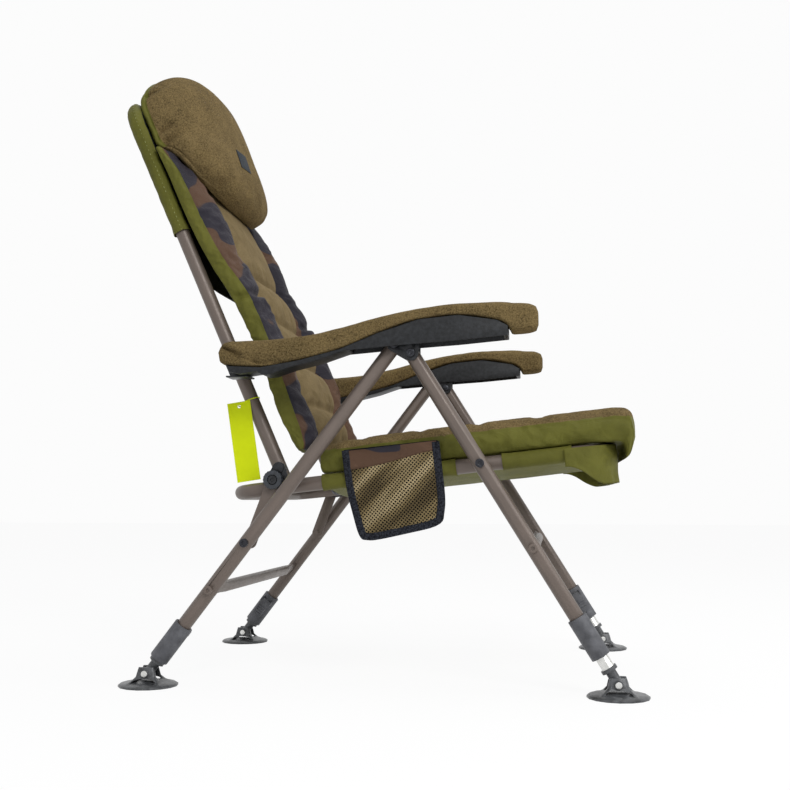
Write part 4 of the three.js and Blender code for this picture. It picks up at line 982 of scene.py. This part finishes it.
class CHAIR_OT_back_cushion(bpy.types.Operator):
    """Back cushion: puffed suede centre between two camouflage bolsters, with nylon gussets"""

    bl_idname = "chair.back_cushion"
    bl_label = "Back cushion"

    def execute(self, context):
        half = 0.239
        edge = half * 0.982
        crown_line, valley, inner = 0.200, 0.150, 0.132
        # Each row: along the back, rear face, gusset's front edge, bolster's crown, centre's crown
        rows = [
            (0.045, 0.046, 0.052, 0.058, 0.056), (0.052, 0.044, 0.058, 0.070, 0.070),
            (0.066, 0.042, 0.061, 0.079, 0.084), (0.091, 0.039, 0.064, 0.083, 0.090),
            (0.124, 0.038, 0.066, 0.083, 0.090), (0.160, 0.040, 0.068, 0.085, 0.088),
            (0.197, 0.042, 0.070, 0.090, 0.089), (0.250, 0.045, 0.073, 0.091, 0.084),
            (0.300, 0.044, 0.074, 0.091, 0.080), (0.335, 0.042, 0.073, 0.090, 0.081),
            (0.352, 0.040, 0.071, 0.087, 0.080), (0.379, 0.036, 0.065, 0.084, 0.077),
            (0.434, 0.027, 0.053, 0.078, 0.072), (0.490, 0.022, 0.047, 0.077, 0.072),
            (0.530, 0.0205, 0.045, 0.073, 0.068), (0.568, 0.0200, 0.044, 0.067, 0.063),
            (0.604, 0.0200, 0.042, 0.056, 0.056), (0.636, 0.0190, 0.036, 0.044, 0.046),
            (0.660, 0.0180, 0.030, 0.034, 0.036), (0.671, 0.0180, 0.023, 0.026, 0.027),
        ]
        first, last = rows[0][0], rows[-1][0]
        seams = (0.134, 0.225, 0.318, 0.414)
        tuck = 0.345
        depth = chair_sizes().puff_depth
        rear, flank, strip, middle = 14, 10, 30, 30

        def seam_at(at, y):
            """How deep a channel lies here: the seams bow down towards the middle."""
            bow = 0.008 * (1 - (y / inner) ** 2)
            return max(near(at, seam - bow + 0.003, 0.0075) for seam in seams)

        def section(at):
            back_face, gusset, crown, centre = (eased(rows, at, column) for column in (1, 2, 3, 4))
            pull = near(at, tuck, 0.007)
            fade = min(1.0, max(0.0, (0.665 - at) / 0.06)) * min(1.0, max(0.0, (at - first) / 0.03))
            floor = min(crown, centre) - 0.036 * fade
            points = []
            for t in spread(0, 0.975, rear):
                points.append((max(back_clear, back_face - 0.002 * (1 - t)), half * t))
            for t in spread(0, 1, flank + 2)[1:-1]:
                bulge = 0.975 + (0.022 - 0.045 * pull) * math.sin(math.pi * t)
                points.append((back_face + (gusset - back_face) * t, half * bulge))
            for t in spread(0, 1, strip):
                # From the gusset's edge over the bolster's crown and down into the valley
                y = edge + (valley - edge) * t
                if y > crown_line:
                    climb = quarter * (edge - y) / (edge - crown_line)
                    n = gusset + (crown - gusset) * math.sin(climb) ** 0.8
                else:
                    fall = quarter * (crown_line - y) / (crown_line - valley)
                    n = floor + (crown - floor) * math.cos(fall) ** 0.7
                points.append((n - 0.014 * pull * math.sin(math.pi * min(1.0, t * 1.2)), y))
            for t in spread(0, 1, middle)[1:]:
                y = valley * (1 - t)
                share = min(1.0, y / valley)
                n = floor + (centre - floor) * (1 - share ** 3.2) ** 0.62
                points.append((n - depth * seam_at(at, y) * (1 - share ** 6), y))
            left = [back_point(at, n, y) for n, y in points]
            right = [back_point(at, n, -y) for n, y in points]
            return left + right[-2:0:-1]

        stations = spread(first, last, 150)
        rings = [section(at) for at in stations]
        piece = skin("back_padding", rings)
        count = len(rings[0])
        gusset_seam, camo_seam = rear + flank, rear + flank + strip - 1
        held = []
        for i, at in enumerate(stations):
            for j in range(count):
                k = min(j, count - j)
                stay = 1.0 if k < rear else 0.0
                stay = max(stay, 0.85 * near(k, gusset_seam, 0.7), 0.95 * near(k, camo_seam, 0.7))
                if k > camo_seam:
                    y = valley * (1 - (k - camo_seam) / (middle - 1))
                    stay = max(stay, min(1.0, seam_at(at, y)))
                if i < 3 or i > len(stations) - 4:
                    stay = 1.0
                held.append(stay)
        held += [1.0, 1.0]
        fill_out(piece, held, chair_sizes().filling * 0.8, 0.005, 0.02)
        kinds = []
        for i in range(len(stations) - 1):
            for j in range(count):
                k = min(j, count - 1 - j)
                kinds.append(0 if k >= camo_seam else 1 if k >= gusset_seam else 2)
        kinds += [2] * (2 * count)
        painted_by_place(piece, ["suede", "camo", "olive"], lambda face: kinds[face.index])
        apply_modifier(piece, "SUBSURF", levels=1, render_levels=1)

        def creased(spot):
            """The suede centre creases a quarter as much as the nylon, and the rear not at all."""
            place = spot - back_pivot
            if place.dot(back_forward) < 0.03:
                return 0.0
            return 0.25 if abs(place.y) < valley else 1.0

        crumple(piece, 0.0021, 0.03, creased)
        settle(piece, "back_padding", None, "back", ["back_cushion"])
        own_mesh(piece)
        return {"FINISHED"}


class CHAIR_OT_head_pillow(bpy.types.Operator):
    """Head pillow: fleece dome, its upper part on a nylon gusset and back, tucked at its sides"""

    bl_idname = "chair.head_pillow"
    bl_label = "Head pillow"

    def execute(self, context):
        start, length, wide, deep = 0.556, 0.284, 0.217, 0.149
        # Each row: share of the length, then of the depth at rear face and crown, then of the half width
        rows = [
            (0.0, 0.50, 0.56, 0.16), (0.012, 0.48, 0.64, 0.34), (0.045, 0.455, 0.73, 0.50),
            (0.10, 0.42, 0.80, 0.66), (0.16, 0.39, 0.835, 0.80), (0.23, 0.35, 0.86, 0.90),
            (0.31, 0.30, 0.875, 0.96), (0.38, 0.22, 0.885, 0.985), (0.43, 0.12, 0.89, 1.0),
            (0.48, 0.0992, 0.895, 1.0), (0.6, 0.0992, 0.91, 1.0), (0.7, 0.0992, 0.915, 0.99),
            (0.78, 0.12, 0.91, 0.96), (0.85, 0.18, 0.885, 0.89), (0.91, 0.25, 0.845, 0.79),
            (0.955, 0.32, 0.77, 0.65), (0.985, 0.39, 0.68, 0.48), (1.0, 0.46, 0.58, 0.28),
        ]
        rear, flank, top = 14, 7, 60
        gusset = 0.013

        def section(share):
            low = max(back_clear, deep * eased(rows, share, 1))
            high = deep * eased(rows, share, 2)
            half = wide * eased(rows, share, 3)
            at = start + share * length
            rise = high - low
            edge = min(gusset, rise * 0.2)
            points = [(low, half * 0.96 * t) for t in spread(0, 1, rear)]
            for t in spread(0, 1, flank + 2)[1:-1]:
                points.append((low + edge * t, half * (0.965 + 0.02 * math.sin(math.pi * t))))
            for t in spread(0, 1, top):
                angle = t * quarter
                y = half * 0.985 * math.cos(angle) ** 0.87
                n = low + edge + (rise - edge) * math.sin(angle) ** 0.8
                points.append((n, y))
            left = [back_point(at, n, y) for n, y in points]
            right = [back_point(at, n, -y) for n, y in points]
            return left + right[-2:0:-1]

        stations = spread(0, 1, 84)
        rings = [section(share) for share in stations]
        piece = skin("pillow_padding", rings)
        count = len(rings[0])
        held = []
        for i in range(len(stations)):
            for j in range(count):
                k = min(j, count - j)
                stay = 1.0 if k < rear else 0.9 * near(k, rear + flank, 0.8)
                if i < 2 or i > len(stations) - 3:
                    stay = 1.0
                held.append(stay)
        held += [1.0, 1.0]
        fill_out(piece, held, chair_sizes().filling * 0.6, 0.005, 0.01)
        # Tucks where the fleece is gathered into the side seam: share of the length, reach, width, depth
        tucks = [(0.44, 0.060, 0.018, 0.016), (0.52, 0.045, 0.014, 0.014), (0.80, 0.055, 0.016, 0.012)]
        seam_forward = 0.03
        for vertex in piece.data.vertices:
            place = vertex.co - back_pivot
            along = place.dot(back_along)
            forward = place.dot(back_forward)
            share = (along - start) / length
            out = forward - seam_forward
            if abs(place.y) > wide * 0.6 and out > 0:
                for centre, reach, width, push in tucks:
                    fold = near(share, centre + 0.6 * out, width) * max(0.0, 1 - out / reach)
                    vertex.co.y -= math.copysign(push * fold, place.y)
        kinds = []
        for i in range(len(stations) - 1):
            for j in range(count):
                k = min(j, count - 1 - j)
                kinds.append(1 if k < rear + flank and i > 0.40 * len(stations) else 0)
        kinds += [0] * count + [1] * count
        painted_by_place(piece, ["fleece", "olive"], lambda face: kinds[face.index])
        apply_modifier(piece, "SUBSURF", levels=1, render_levels=1)
        settle(piece, "pillow_padding", None, "back", ["head_pillow"])
        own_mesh(piece)
        return {"FINISHED"}


class CHAIR_OT_armrest_pads(bpy.types.Operator):
    """Armrest pads: fleece over foam on the trays' curve, with a pleat near the rear"""

    bl_idname = "chair.armrest_pads"
    bl_label = "Armrest pads"

    def execute(self, context):
        rear_reach = 0.3285
        rear_x = pivots["armrest_fold_right"].x - rear_reach
        pad_half, keel = 0.0305, 0.521
        length, rise = 0.540, 0.115
        pleat_end = 0.27
        # Shares of the armrest's length and rise: top line, then the seam with the tray
        rows = [
            (0.0, 0.365, 0.339), (0.007, 0.452, 0.2), (0.039, 0.504, 0.148), (0.139, 0.513, 0.122),
            (0.264, 0.557, 0.217), (0.389, 0.67, 0.365), (0.514, 0.817, 0.596), (0.635, 0.922, 0.774),
            (0.758, 0.983, 0.826), (0.877, 0.991, 0.739), (0.91, 0.983, 0.652), (0.921, 0.974, 0.574),
            (0.961, 0.965, 0.583), (0.993, 0.935, 0.617), (1.0, 0.86, 0.70),
        ]
        around = 96
        for side, sign in sides.items():
            centre = sign * arm_half
            rings = []
            for share in spread(0, 1, 160):
                low, high = keel + rise * eased(rows, share, 2), keel + rise * eased(rows, share, 1)
                tip = min(1.0, 0.68 + 0.32 * math.sqrt(min(share / 0.03, (1 - share) / 0.02, 1.0)))
                half = pad_half * tip
                middle = (high + low) / 2
                ring = []
                for j in range(around):
                    turn = 2 * math.pi * j / around
                    c, s = math.cos(turn), math.sin(turn)
                    y = half * math.copysign(abs(c) ** 0.5, c)
                    if s > 0:
                        crown = 0.0035 * (1 - (y / half) ** 2) * min(1.0, (1 - share) / 0.03)
                        z = middle + (high - middle) * s ** 0.6 + crown
                    else:
                        z = middle - (middle - low) * (-s) ** 0.3
                    ring.append(Vector((rear_x + share * length, centre + y, z)))
                rings.append(ring)
            piece = skin("armrest_fleece", rings)
            for vertex in piece.data.vertices:
                share = (vertex.co.x - rear_x) / length
                outward = (vertex.co.y - centre) * sign
                if outward > 0.015 and share < pleat_end:
                    # The pleat where the fleece is drawn round the rear: a lip over a narrow groove
                    gap = vertex.co.z - (0.576 - 0.031 * min(1.0, share / 0.13))
                    strength = min(1.0, share / 0.02) * max(0.0, 1 - share / pleat_end)
                    lip = 0.0025 * near(gap, 0.005, 0.006) - 0.011 * near(gap, -0.002, 0.0034)
                    vertex.co.y += sign * strength * lip
                outwards = Vector((0, vertex.co.y - centre, 0.01)).normalized()
                vertex.co += outwards * (0.0006 * noise.noise(vertex.co * 60))
            all_smooth(piece)
            armrest = f"armrest_{side}"
            settle(piece, f"armrest_fleece_{side}", "fleece", armrest, [f"armrest_pad_{side}"])
        return {"FINISHED"}


# Cloth

def frame_path(points, normal):
    """Points with the directions between them, for cloth sleeves."""
    path = []
    for i, point in enumerate(points):
        before, after = points[max(0, i - 1)], points[min(len(points) - 1, i + 1)]
        path.append((point, (after - before).normalized(), normal))
    return path


def hoop_points(start):
    """Points round the hoop from one side's start to the other's, about 8 mm apart on the straights."""
    step = 0.008
    rise, span = hoop_height - hoop_bend, back_half - hoop_bend
    arc = [(math.sin(turn) * hoop_bend, math.cos(turn) * hoop_bend) for turn in spread(0, quarter, 14)]
    points = [back_point(a, 0, -back_half) for a in spread(start, rise, int((rise - start) / step))]
    points += [back_point(rise + up, 0, -span - out) for up, out in arc[1:]]
    points += [back_point(hoop_height, 0, y) for y in spread(-span, span, int(2 * span / step))[1:]]
    points += [back_point(rise + up, 0, span + out) for up, out in arc[-2::-1]]
    points += [back_point(a, 0, back_half) for a in spread(rise, start, int((rise - start) / step))[1:]]
    return points


class CHAIR_OT_back_cloth(bpy.types.Operator):
    """Nylon sleeve over the hoop's top, its topstitching, and the black panel behind the cushion"""

    bl_idname = "chair.back_cloth"
    bl_label = "Back cloth"

    def execute(self, context):
        path = frame_path(hoop_points(0.505), back_forward)
        last = len(path) - 1
        seam_turn, facets = 2 * math.pi - 1.3, 44

        def radii(index, turn):
            hem = 0.0012 * (near(index, 0, 1.2) + near(index, last, 1.2))
            flange = 0.0016 * near(turn, seam_turn + 0.1, 0.16)
            pucker = 0.0008 * math.sin(index * 1.7) * near(turn, 0.9, 0.5)
            return tube_radius + 0.0016 + hem + flange + pucker

        sleeve = cloth_tube("hoop_sleeve", path, radii, facets, 0.0008)
        # The black band on the sleeve's front is painted shade, not a cloth of its own
        inner = 2 * math.pi - 0.3

        def finish_of(face):
            """Black in a band on the sleeve's front, as painted shade where the sleeve faces the cushion,
            and olive round the rest.
            """
            turn = 2 * math.pi * (face.index % facets + 0.5) / facets
            return 1 if turn > inner or turn < 0.6 else 0

        painted_by_place(sleeve, ["olive", "black"], finish_of)
        settle(sleeve, "hoop_sleeve", None, "back", ["back_sleeve"])
        seam = []
        for index, (point, direction, normal) in enumerate(path):
            side = direction.cross(normal)
            radius = radii(index, seam_turn) + 0.0006
            way = normal * math.cos(seam_turn) + side * math.sin(seam_turn)
            seam.append(point + way * radius)
        stitches = stitch_row("hoop_topstitch", seam, chair_sizes().stitch)
        settle(stitches, "hoop_topstitch", "thread", "back")
        edge = 0.015
        half, low, top = back_half - edge, 0.402, hoop_height - edge
        columns, lines = 40, 44
        points = []
        for a in spread(low, top, lines):
            corner = max(0.0, a - (hoop_height - hoop_bend))
            inset = 0.0
            if corner:
                inset = hoop_bend - edge - math.sqrt(max(0.0, (hoop_bend - edge) ** 2 - corner ** 2))
            for y in spread(-half + inset, half - inset, columns):
                ripple = 0.0012 * noise.noise(Vector((a * 14, y * 11, 3.0)))
                points.append(back_point(a, ripple, y))
        panel = from_points("backing_panel", points, grid_faces(lines, columns, False))
        thick_cloth(panel, 0.0016)
        settle(panel, "backing_panel", "black", "back", ["back_panel"])
        return {"FINISHED"}


class CHAIR_OT_seat_sling(bpy.types.Operator):
    """Nylon sling between the side tubes, and its four sleeves"""

    bl_idname = "chair.seat_sling"
    bl_label = "Seat sling"

    def execute(self, context):
        spans = [(0.069, 0.301), (0.379, ring_front - ring_front_bend)]
        for side, sign in sides.items():
            for number, (start, end) in enumerate(spans, 1):
                count = int((end - start) / 0.006)
                line = [seat_point(u, 0, sign * seat_half) for u in spread(start, end, count)]

                def radii(index, turn, count=count):
                    hem = 0.0010 * (near(index, 0, 1.5) + near(index, count - 1, 1.5))
                    return tube_radius + 0.0009 + hem

                sleeve = cloth_tube("sling_sleeve", frame_path(line, seat_up), radii, tube_facets, 0.0004)
                settle(sleeve, f"sling_sleeve_{side}_{number}", "olive", "seat")
        narrow = seat_half - tube_radius - 0.0006
        rear, front = 0.069, 0.530
        columns, lines = 44, 60
        points = []
        for u in spread(rear, front, lines):
            waist = 0.009 * max(0.0, min(1.0, (u - 0.297) / 0.008, (0.383 - u) / 0.008))
            taper = 0.018 * max(0.0, (u - 0.496) / 0.034)
            reach = narrow - waist - taper
            for y in spread(-reach, reach, columns):
                sag = -0.024 * (1 - (y / seat_half) ** 2)
                ripple = 0.0009 * noise.noise(Vector((u * 16, y * 9, 1.0)))
                points.append(seat_point(u, sag + ripple, y))
        sling = from_points("sling_panel", points, grid_faces(lines, columns, False))
        thick_cloth(sling, 0.0018)
        settle(sling, "sling_panel", "olive", "seat", ["seat_sling"])
        return {"FINISHED"}


class CHAIR_OT_valance(bpy.types.Operator):
    """Front valance: a gathered strip of nylon that hangs over the seat ring's front bar"""

    bl_idname = "chair.valance"
    bl_label = "Front valance"

    def execute(self, context):
        outset = 0.0156
        half, front = seat_half + outset, ring_front + outset
        bend = ring_front_bend + outset
        side_start = 0.482
        arc = [(math.sin(t) * bend, math.cos(t) * bend) for t in spread(0, quarter, 22)]
        rim = [(u, -half) for u in spread(side_start, front - bend, 6)]
        rim += [(front - bend + ahead, -half + bend - out) for ahead, out in arc[1:]]
        rim += [(front, y) for y in spread(-half + bend, half - bend, 90)[1:]]
        rim += [(front - bend + ahead, half - bend + out) for ahead, out in arc[-2::-1]]
        rim += [(u, half) for u in spread(front - bend, side_start, 6)[1:]]
        lengths = [0.0]
        for a, b in zip(rim, rim[1:]):
            lengths.append(lengths[-1] + math.dist(a, b))
        total = lengths[-1]
        lines, folds = 18, 7
        points = []
        for t in spread(0, 1, lines):
            for (u, y), at in zip(rim, lengths):
                share = min(1.0, min(at, total - at) / bend)
                drop = outset + 0.005 + 0.035 * math.sin(share * quarter) ** 2
                up = outset * 0.6 - (outset * 0.6 + drop) * t
                hang = max(0.0, t - 0.45) / 0.55
                straight = max(-half + bend, min(half - bend, y))
                away = Vector((u, y)) - Vector((min(u, front - bend), straight))
                away = away.normalized() if away.length > 1e-6 else Vector((0, math.copysign(1, y)))
                wander = 2.2 * noise.noise(Vector((at * 9, 0, 0)))
                fold = math.sin(at / total * folds * 2 * math.pi + wander)
                crease = 0.0035 * noise.noise(Vector((at * 55, t * 2.2, 0))) * t
                push = (0.0045 * fold - 0.006) * hang * share + crease
                points.append(seat_point(u + away.x * push, up, y + away.y * push))
        piece = from_points("valance_cloth", points, grid_faces(lines, len(rim), False))
        with editing(piece):
            bpy.ops.mesh.normals_make_consistent(inside=False)
        thick_cloth(piece, 0.0014)
        settle(piece, "valance_cloth", "olive", "seat", ["front_valance"])
        return {"FINISHED"}


class CHAIR_OT_side_pocket(bpy.types.Operator):
    """Side pocket: dark lining, camouflage band, knitted net in front and a bound hem"""

    bl_idname = "chair.side_pocket"
    bl_label = "Side pocket"

    def execute(self, context):
        sleeve_outside, gap = 0.0138, 0.0010
        wall = -(seat_half + sleeve_outside + gap)
        left, width, top, deep = 0.110, 0.168, 0.052, 0.160
        hem = 0.0125
        # Outline as shares of the width and depth, from the rear top corner forwards and round
        corners = [
            (0, 0), (1, -0.01), (1, -0.66), (0.94, -0.92), (0.24, -1), (0.09, -0.97), (0.01, -0.45),
        ]
        outline = [Vector((left + width * x, top + deep * z)) for x, z in corners]
        rim = []
        for i, corner in enumerate(outline):
            # Each corner is rounded off; the two at the top stay nearly square
            cut_in = 0.28 if i > 1 else 0.04
            after = outline[(i + 1) % len(outline)]
            a, b = corner.lerp(outline[i - 1], cut_in), corner.lerp(after, cut_in)
            for t in spread(0, 1, 6):
                rim.append(a.lerp(corner, t).lerp(corner.lerp(b, t), t))
        middle = sum(rim, Vector((0, 0))) / len(rim)

        def hung(u, v, off):
            """A point of the pocket: off is its share of the belly, and how far out it lies by itself."""
            x, z = min(1.0, max(0.0, (u - left) / width)), min(1.0, max(0.0, (top - v) / deep))
            belly = 0.0075 * math.sin(math.pi * x) * math.sin(math.pi * z) ** 1.5
            return seat_point(u, v, wall - belly * off[0] - off[1])

        inner = [middle.lerp(p, 0.985) for p in rim]
        count, rings = len(inner), 9
        lies = (0.35, -0.0004)
        points = []
        for ring in range(rings):
            points += [hung(*middle.lerp(p, 1 - ring / rings), lies) for p in inner]
        points.append(hung(*middle, lies))
        faces = grid_faces(rings, count)
        last = (rings - 1) * count
        faces += [(last + j, last + (j + 1) % count, rings * count) for j in range(count)]
        lining = from_points("pocket_lining", points, faces)
        apply_modifier(lining, "SOLIDIFY", thickness=0.0008, offset=0.0)
        settle(lining, "pocket_lining", "black", "seat", ["side_pocket"])

        band_edge = [(0.0, 0.232), (0.3, 0.215), (0.6, 0.175), (0.85, 0.135), (1.0, 0.12)]
        strand = chair_sizes().strand
        step = chair_sizes().net_pitch * math.sqrt(2)

        def inside(point, margin):
            """Whether a point lies within the pocket's outline by at least that margin."""
            for i, a in enumerate(outline):
                b = outline[(i + 1) % len(outline)]
                edge = (b - a).normalized()
                if (point.x - a.x) * edge.y - (point.y - a.y) * edge.x < margin:
                    return False
            return True

        def net_point(t, u, v, direction):
            """A strand's point: it goes over and under the others, and lies in three soft folds."""
            wave = 0.0003 * direction * math.cos(2 * math.pi * t / step)
            slant = u - v * 0.9 - left
            folds = near(slant, 0.115, 0.012) + near(slant, 0.165, 0.014) - near(slant, 0.14, 0.010)
            drop = min(1.0, max(0.0, (top - v) / deep))
            slack = max(0.0, math.sin(math.pi * drop) * math.sin(math.pi * t / width))
            return hung(u, v, (1.0, 0.0022 + wave + 0.0055 * slack * folds))

        strands = []
        furthest = 0.36
        for direction in (1, -1):
            offset = -furthest
            while offset < furthest:
                run = []
                for t in spread(-0.02, 0.19, 96):
                    u, v = left + t, top - 0.08 + direction * (t - width / 2) + offset
                    line = top - deep * eased(band_edge, min(1.0, max(0.0, t / width)), 1)
                    if 0 <= t / width <= 1 and v < line + 0.003 and inside(Vector((u, v)), hem * 0.8):
                        run.append(net_point(t, u, v, direction))
                    elif run:
                        strands.append(run)
                        run = []
                if run:
                    strands.append(run)
                offset += step
        points, faces = [], []
        for run in strands:
            if len(run) < 3:
                continue
            base = len(points)
            for i, spot in enumerate(run):
                before, after = run[max(0, i - 1)], run[min(len(run) - 1, i + 1)]
                along = (after - before).normalized()
                flat = along.cross(across).normalized() * (strand / 2)
                thick = across * (strand * 0.24)
                points += [spot + flat, spot + thick, spot - flat, spot - thick]
            faces += [[base + i for i in face] for face in grid_faces(len(run), 4)]
            last = base + 4 * (len(run) - 1)
            faces += [(base + 3, base + 2, base + 1, base), (last, last + 1, last + 2, last + 3)]
        net = from_points("pocket_net", points, faces)
        with editing(net):
            bpy.ops.mesh.normals_make_consistent(inside=False)
        settle(net, "pocket_net", "net", "seat")

        lines, columns = 7, 26
        points = []
        for t in spread(0, 1, lines):
            for x in spread(0, 1, columns):
                line = deep * eased(band_edge, x, 1)
                u, v = left + width * (0.03 + 0.94 * x), top - 0.004 - (line - 0.004) * t
                crease = 0.0012 * noise.noise(Vector((u * 45, v * 60, 5.0)))
                points.append(hung(u, v, (1.0, 0.0032 + crease)))
        band = from_points("pocket_band", points, grid_faces(lines, columns, False))
        thick_cloth(band, 0.0009)
        settle(band, "pocket_band", "band", "seat")

        tape = []
        for i, p in enumerate(rim):
            before, after = rim[i - 1], rim[(i + 1) % len(rim)]
            along = (after - before).normalized()
            inwards = Vector((along.y, -along.x))
            if inwards.dot(middle - p) < 0:
                inwards = -inwards
            tape.append((p, inwards))
        # The tape's section: share of its width inwards, and how proud it stands of the pocket
        section = [
            (0.0, -0.0012), (0.0, 0.0040), (0.10, 0.0052), (0.9, 0.0048), (1.0, 0.0040), (1.0, -0.0008),
        ]
        # The tape runs round from the front top corner to the rear one and leaves the mouth open
        open_tape = tape[11:] + tape[:1]
        points = []
        for p, inwards in open_tape:
            for across_share, proud in section:
                q = p + inwards * (hem * across_share)
                points.append(hung(q.x, q.y, (1.0 if across_share else 0.8, proud)))
        faces = grid_faces(len(open_tape), len(section))
        faces.append(tuple(range(len(section) - 1, -1, -1)))
        faces.append(tuple(range(len(points) - len(section), len(points))))
        binding = from_points("pocket_binding", points, faces)
        with editing(binding):
            bpy.ops.mesh.normals_make_consistent(inside=False)
        apply_modifier(binding, "BEVEL", width=0.0006, segments=2, limit_method="ANGLE")
        soften(binding, 50)
        settle(binding, "pocket_binding", "binding", "seat")
        for piece in (lining, net, band, binding):
            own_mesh(piece)
        return {"FINISHED"}


class CHAIR_OT_tag(bpy.types.Operator):
    """Blank lime card tag with a punched hole, on its loop"""

    bl_idname = "chair.tag"
    bl_label = "Blank tag"

    def execute(self, context):
        dressed("blank_tag", "hang_tag", "card", "back", 0.0002, 1)
        return {"FINISHED"}


class CHAIR_OT_pillow_label(bpy.types.Operator):
    """Blank woven label sewn to the pillow"""

    bl_idname = "chair.pillow_label"
    bl_label = "Blank label"

    def execute(self, context):
        pillow = bpy.data.objects["pillow_padding"]
        bpy.context.view_layer.update()
        columns, lines = 12, 8
        centre_along, centre_y, half_height, half_width = 0.645, -0.055, 0.019, 0.026
        points = []
        for a in spread(centre_along - half_height, centre_along + half_height, lines):
            for y in spread(centre_y - half_width, centre_y + half_width, columns):
                hit, spot, normal, _ = pillow.ray_cast(back_point(a, 0.3, y), -back_forward)
                if not hit:
                    raise RuntimeError("the label finds no pillow under it")
                points.append(spot + normal * 0.0009)
        piece = from_points("pillow_label", points, grid_faces(lines, columns, False))
        apply_modifier(piece, "SOLIDIFY", thickness=0.0012, offset=0.0)
        apply_modifier(piece, "BEVEL", width=0.0003, segments=2, limit_method="ANGLE")
        soften(piece, 50)
        settle(piece, "pillow_label", "label", "back")
        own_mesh(piece)
        return {"FINISHED"}


# Stage

def shown_white(tree):
    """1 on the camera's own rays and on reflections, which see a white background."""
    path = add_node(tree, "ShaderNodeLightPath")
    return add_node(
        tree, "ShaderNodeMath", {"operation": "MAXIMUM"},
        {0: path.outputs["Is Camera Ray"], 1: path.outputs["Is Glossy Ray"]},
    ).outputs[0]


class CHAIR_OT_stage(bpy.types.Operator):
    """Pale floor, soft light and the camera"""

    bl_idname = "chair.stage"
    bl_label = "Stage"

    def execute(self, context):
        bpy.ops.object.select_all(action="DESELECT")
        bpy.ops.mesh.primitive_plane_add(size=24, location=(0, 0, 0))
        floor = bpy.context.active_object
        floor.name = "floor"
        material = bpy.data.materials.new("studio_floor")
        material.use_nodes = True
        tree = material.node_tree
        tree.nodes.clear()
        lit = add_node(tree, "ShaderNodeBsdfDiffuse", {"Color": linear("#fbfbfb")})
        white = add_node(tree, "ShaderNodeEmission", {"Color": linear("#fcfcfc"), "Strength": 1.045})
        # A tenth of what the camera sees of the floor is lit, which keeps the shadow
        share = add_node(
            tree, "ShaderNodeMath", {"operation": "MULTIPLY", 1: 0.9}, {0: shown_white(tree)},
        )
        both = add_node(tree, "ShaderNodeMixShader", links={
            "Fac": share.outputs[0], 1: lit.outputs[0], 2: white.outputs[0],
        })
        add_node(tree, "ShaderNodeOutputMaterial", links={"Surface": both.outputs[0]})
        floor.data.materials.append(material)

        world = bpy.data.worlds.new("studio")
        bpy.context.scene.world = world
        world.use_nodes = True
        tree = world.node_tree
        tree.nodes.clear()
        soft = add_node(tree, "ShaderNodeBackground", {"Color": linear("#f8f9fb"), "Strength": 0.45})
        pale = add_node(tree, "ShaderNodeBackground", {"Color": linear("#fcfcfc"), "Strength": 1.0})
        both = add_node(tree, "ShaderNodeMixShader", links={
            "Fac": shown_white(tree), 1: soft.outputs[0], 2: pale.outputs[0],
        })
        add_node(tree, "ShaderNodeOutputWorld", links={"Surface": both.outputs[0]})

        # Each lamp: place, size and watts
        lamps = [
            ("key", (1.4, -2.4, 2.4), 1.2, 40.0), ("top", (0.2, 0.6, 3.2), 2.0, 17.0),
            ("front", (2.6, -0.8, 1.4), 1.3, 14.0),
        ]
        target = Vector((0.0, 0.0, 0.5))
        for name, place, size, power in lamps:
            lamp = bpy.data.lights.new(name, "AREA")
            lamp.shape, lamp.size, lamp.energy = "DISK", size, power
            holder = bpy.data.objects.new(name, lamp)
            holder.location = place
            holder.rotation_euler = (target - Vector(place)).to_track_quat("-Z", "Y").to_euler()
            bpy.context.scene.collection.objects.link(holder)

        camera = bpy.data.cameras.new("camera")
        camera.lens = 49.215
        camera.sensor_width = 36.0
        holder = bpy.data.objects.new("camera", camera)
        holder.location = (0.3225, -2.0729, 0.31265)
        holder.rotation_euler = (math.radians(90 + 5.54), 0, math.radians(8.42))
        bpy.context.scene.collection.objects.link(holder)
        bpy.context.scene.camera = holder
        bpy.context.scene.view_settings.view_transform = "Standard"
        return {"FINISHED"}


class CHAIR_PT_panel(bpy.types.Panel):
    """The chair's pieces and sizes"""

    bl_label = "Carp chair"
    bl_space_type = "VIEW_3D"
    bl_region_type = "UI"
    bl_category = "Chair"

    def draw(self, context):
        for name in ChairSizes.__annotations__:
            self.layout.prop(context.scene.chair_sizes, name)
        for operator in operators:
            self.layout.operator(operator.bl_idname)


operators = (
    CHAIR_OT_stage, CHAIR_OT_seat_ring, CHAIR_OT_back_hoop, CHAIR_OT_fittings, CHAIR_OT_seat_cushion,
    CHAIR_OT_back_cushion, CHAIR_OT_head_pillow, CHAIR_OT_armrest_pads, CHAIR_OT_back_cloth,
    CHAIR_OT_seat_sling, CHAIR_OT_valance, CHAIR_OT_side_pocket, CHAIR_OT_tag, CHAIR_OT_pillow_label,
)
classes = (ChairSizes, *operators, CHAIR_PT_panel)


def register():
    for kind in classes:
        bpy.utils.register_class(kind)
    bpy.types.Scene.chair_sizes = bpy.props.PointerProperty(type=ChairSizes)


def unregister():
    del bpy.types.Scene.chair_sizes
    for kind in reversed(classes):
        bpy.utils.unregister_class(kind)


def main():
    """Makes every piece in order."""
    register()
    for operator in operators:
        group, name = operator.bl_idname.split(".")
        getattr(getattr(bpy.ops, group), name)()


if __name__ == "__main__":
    main()
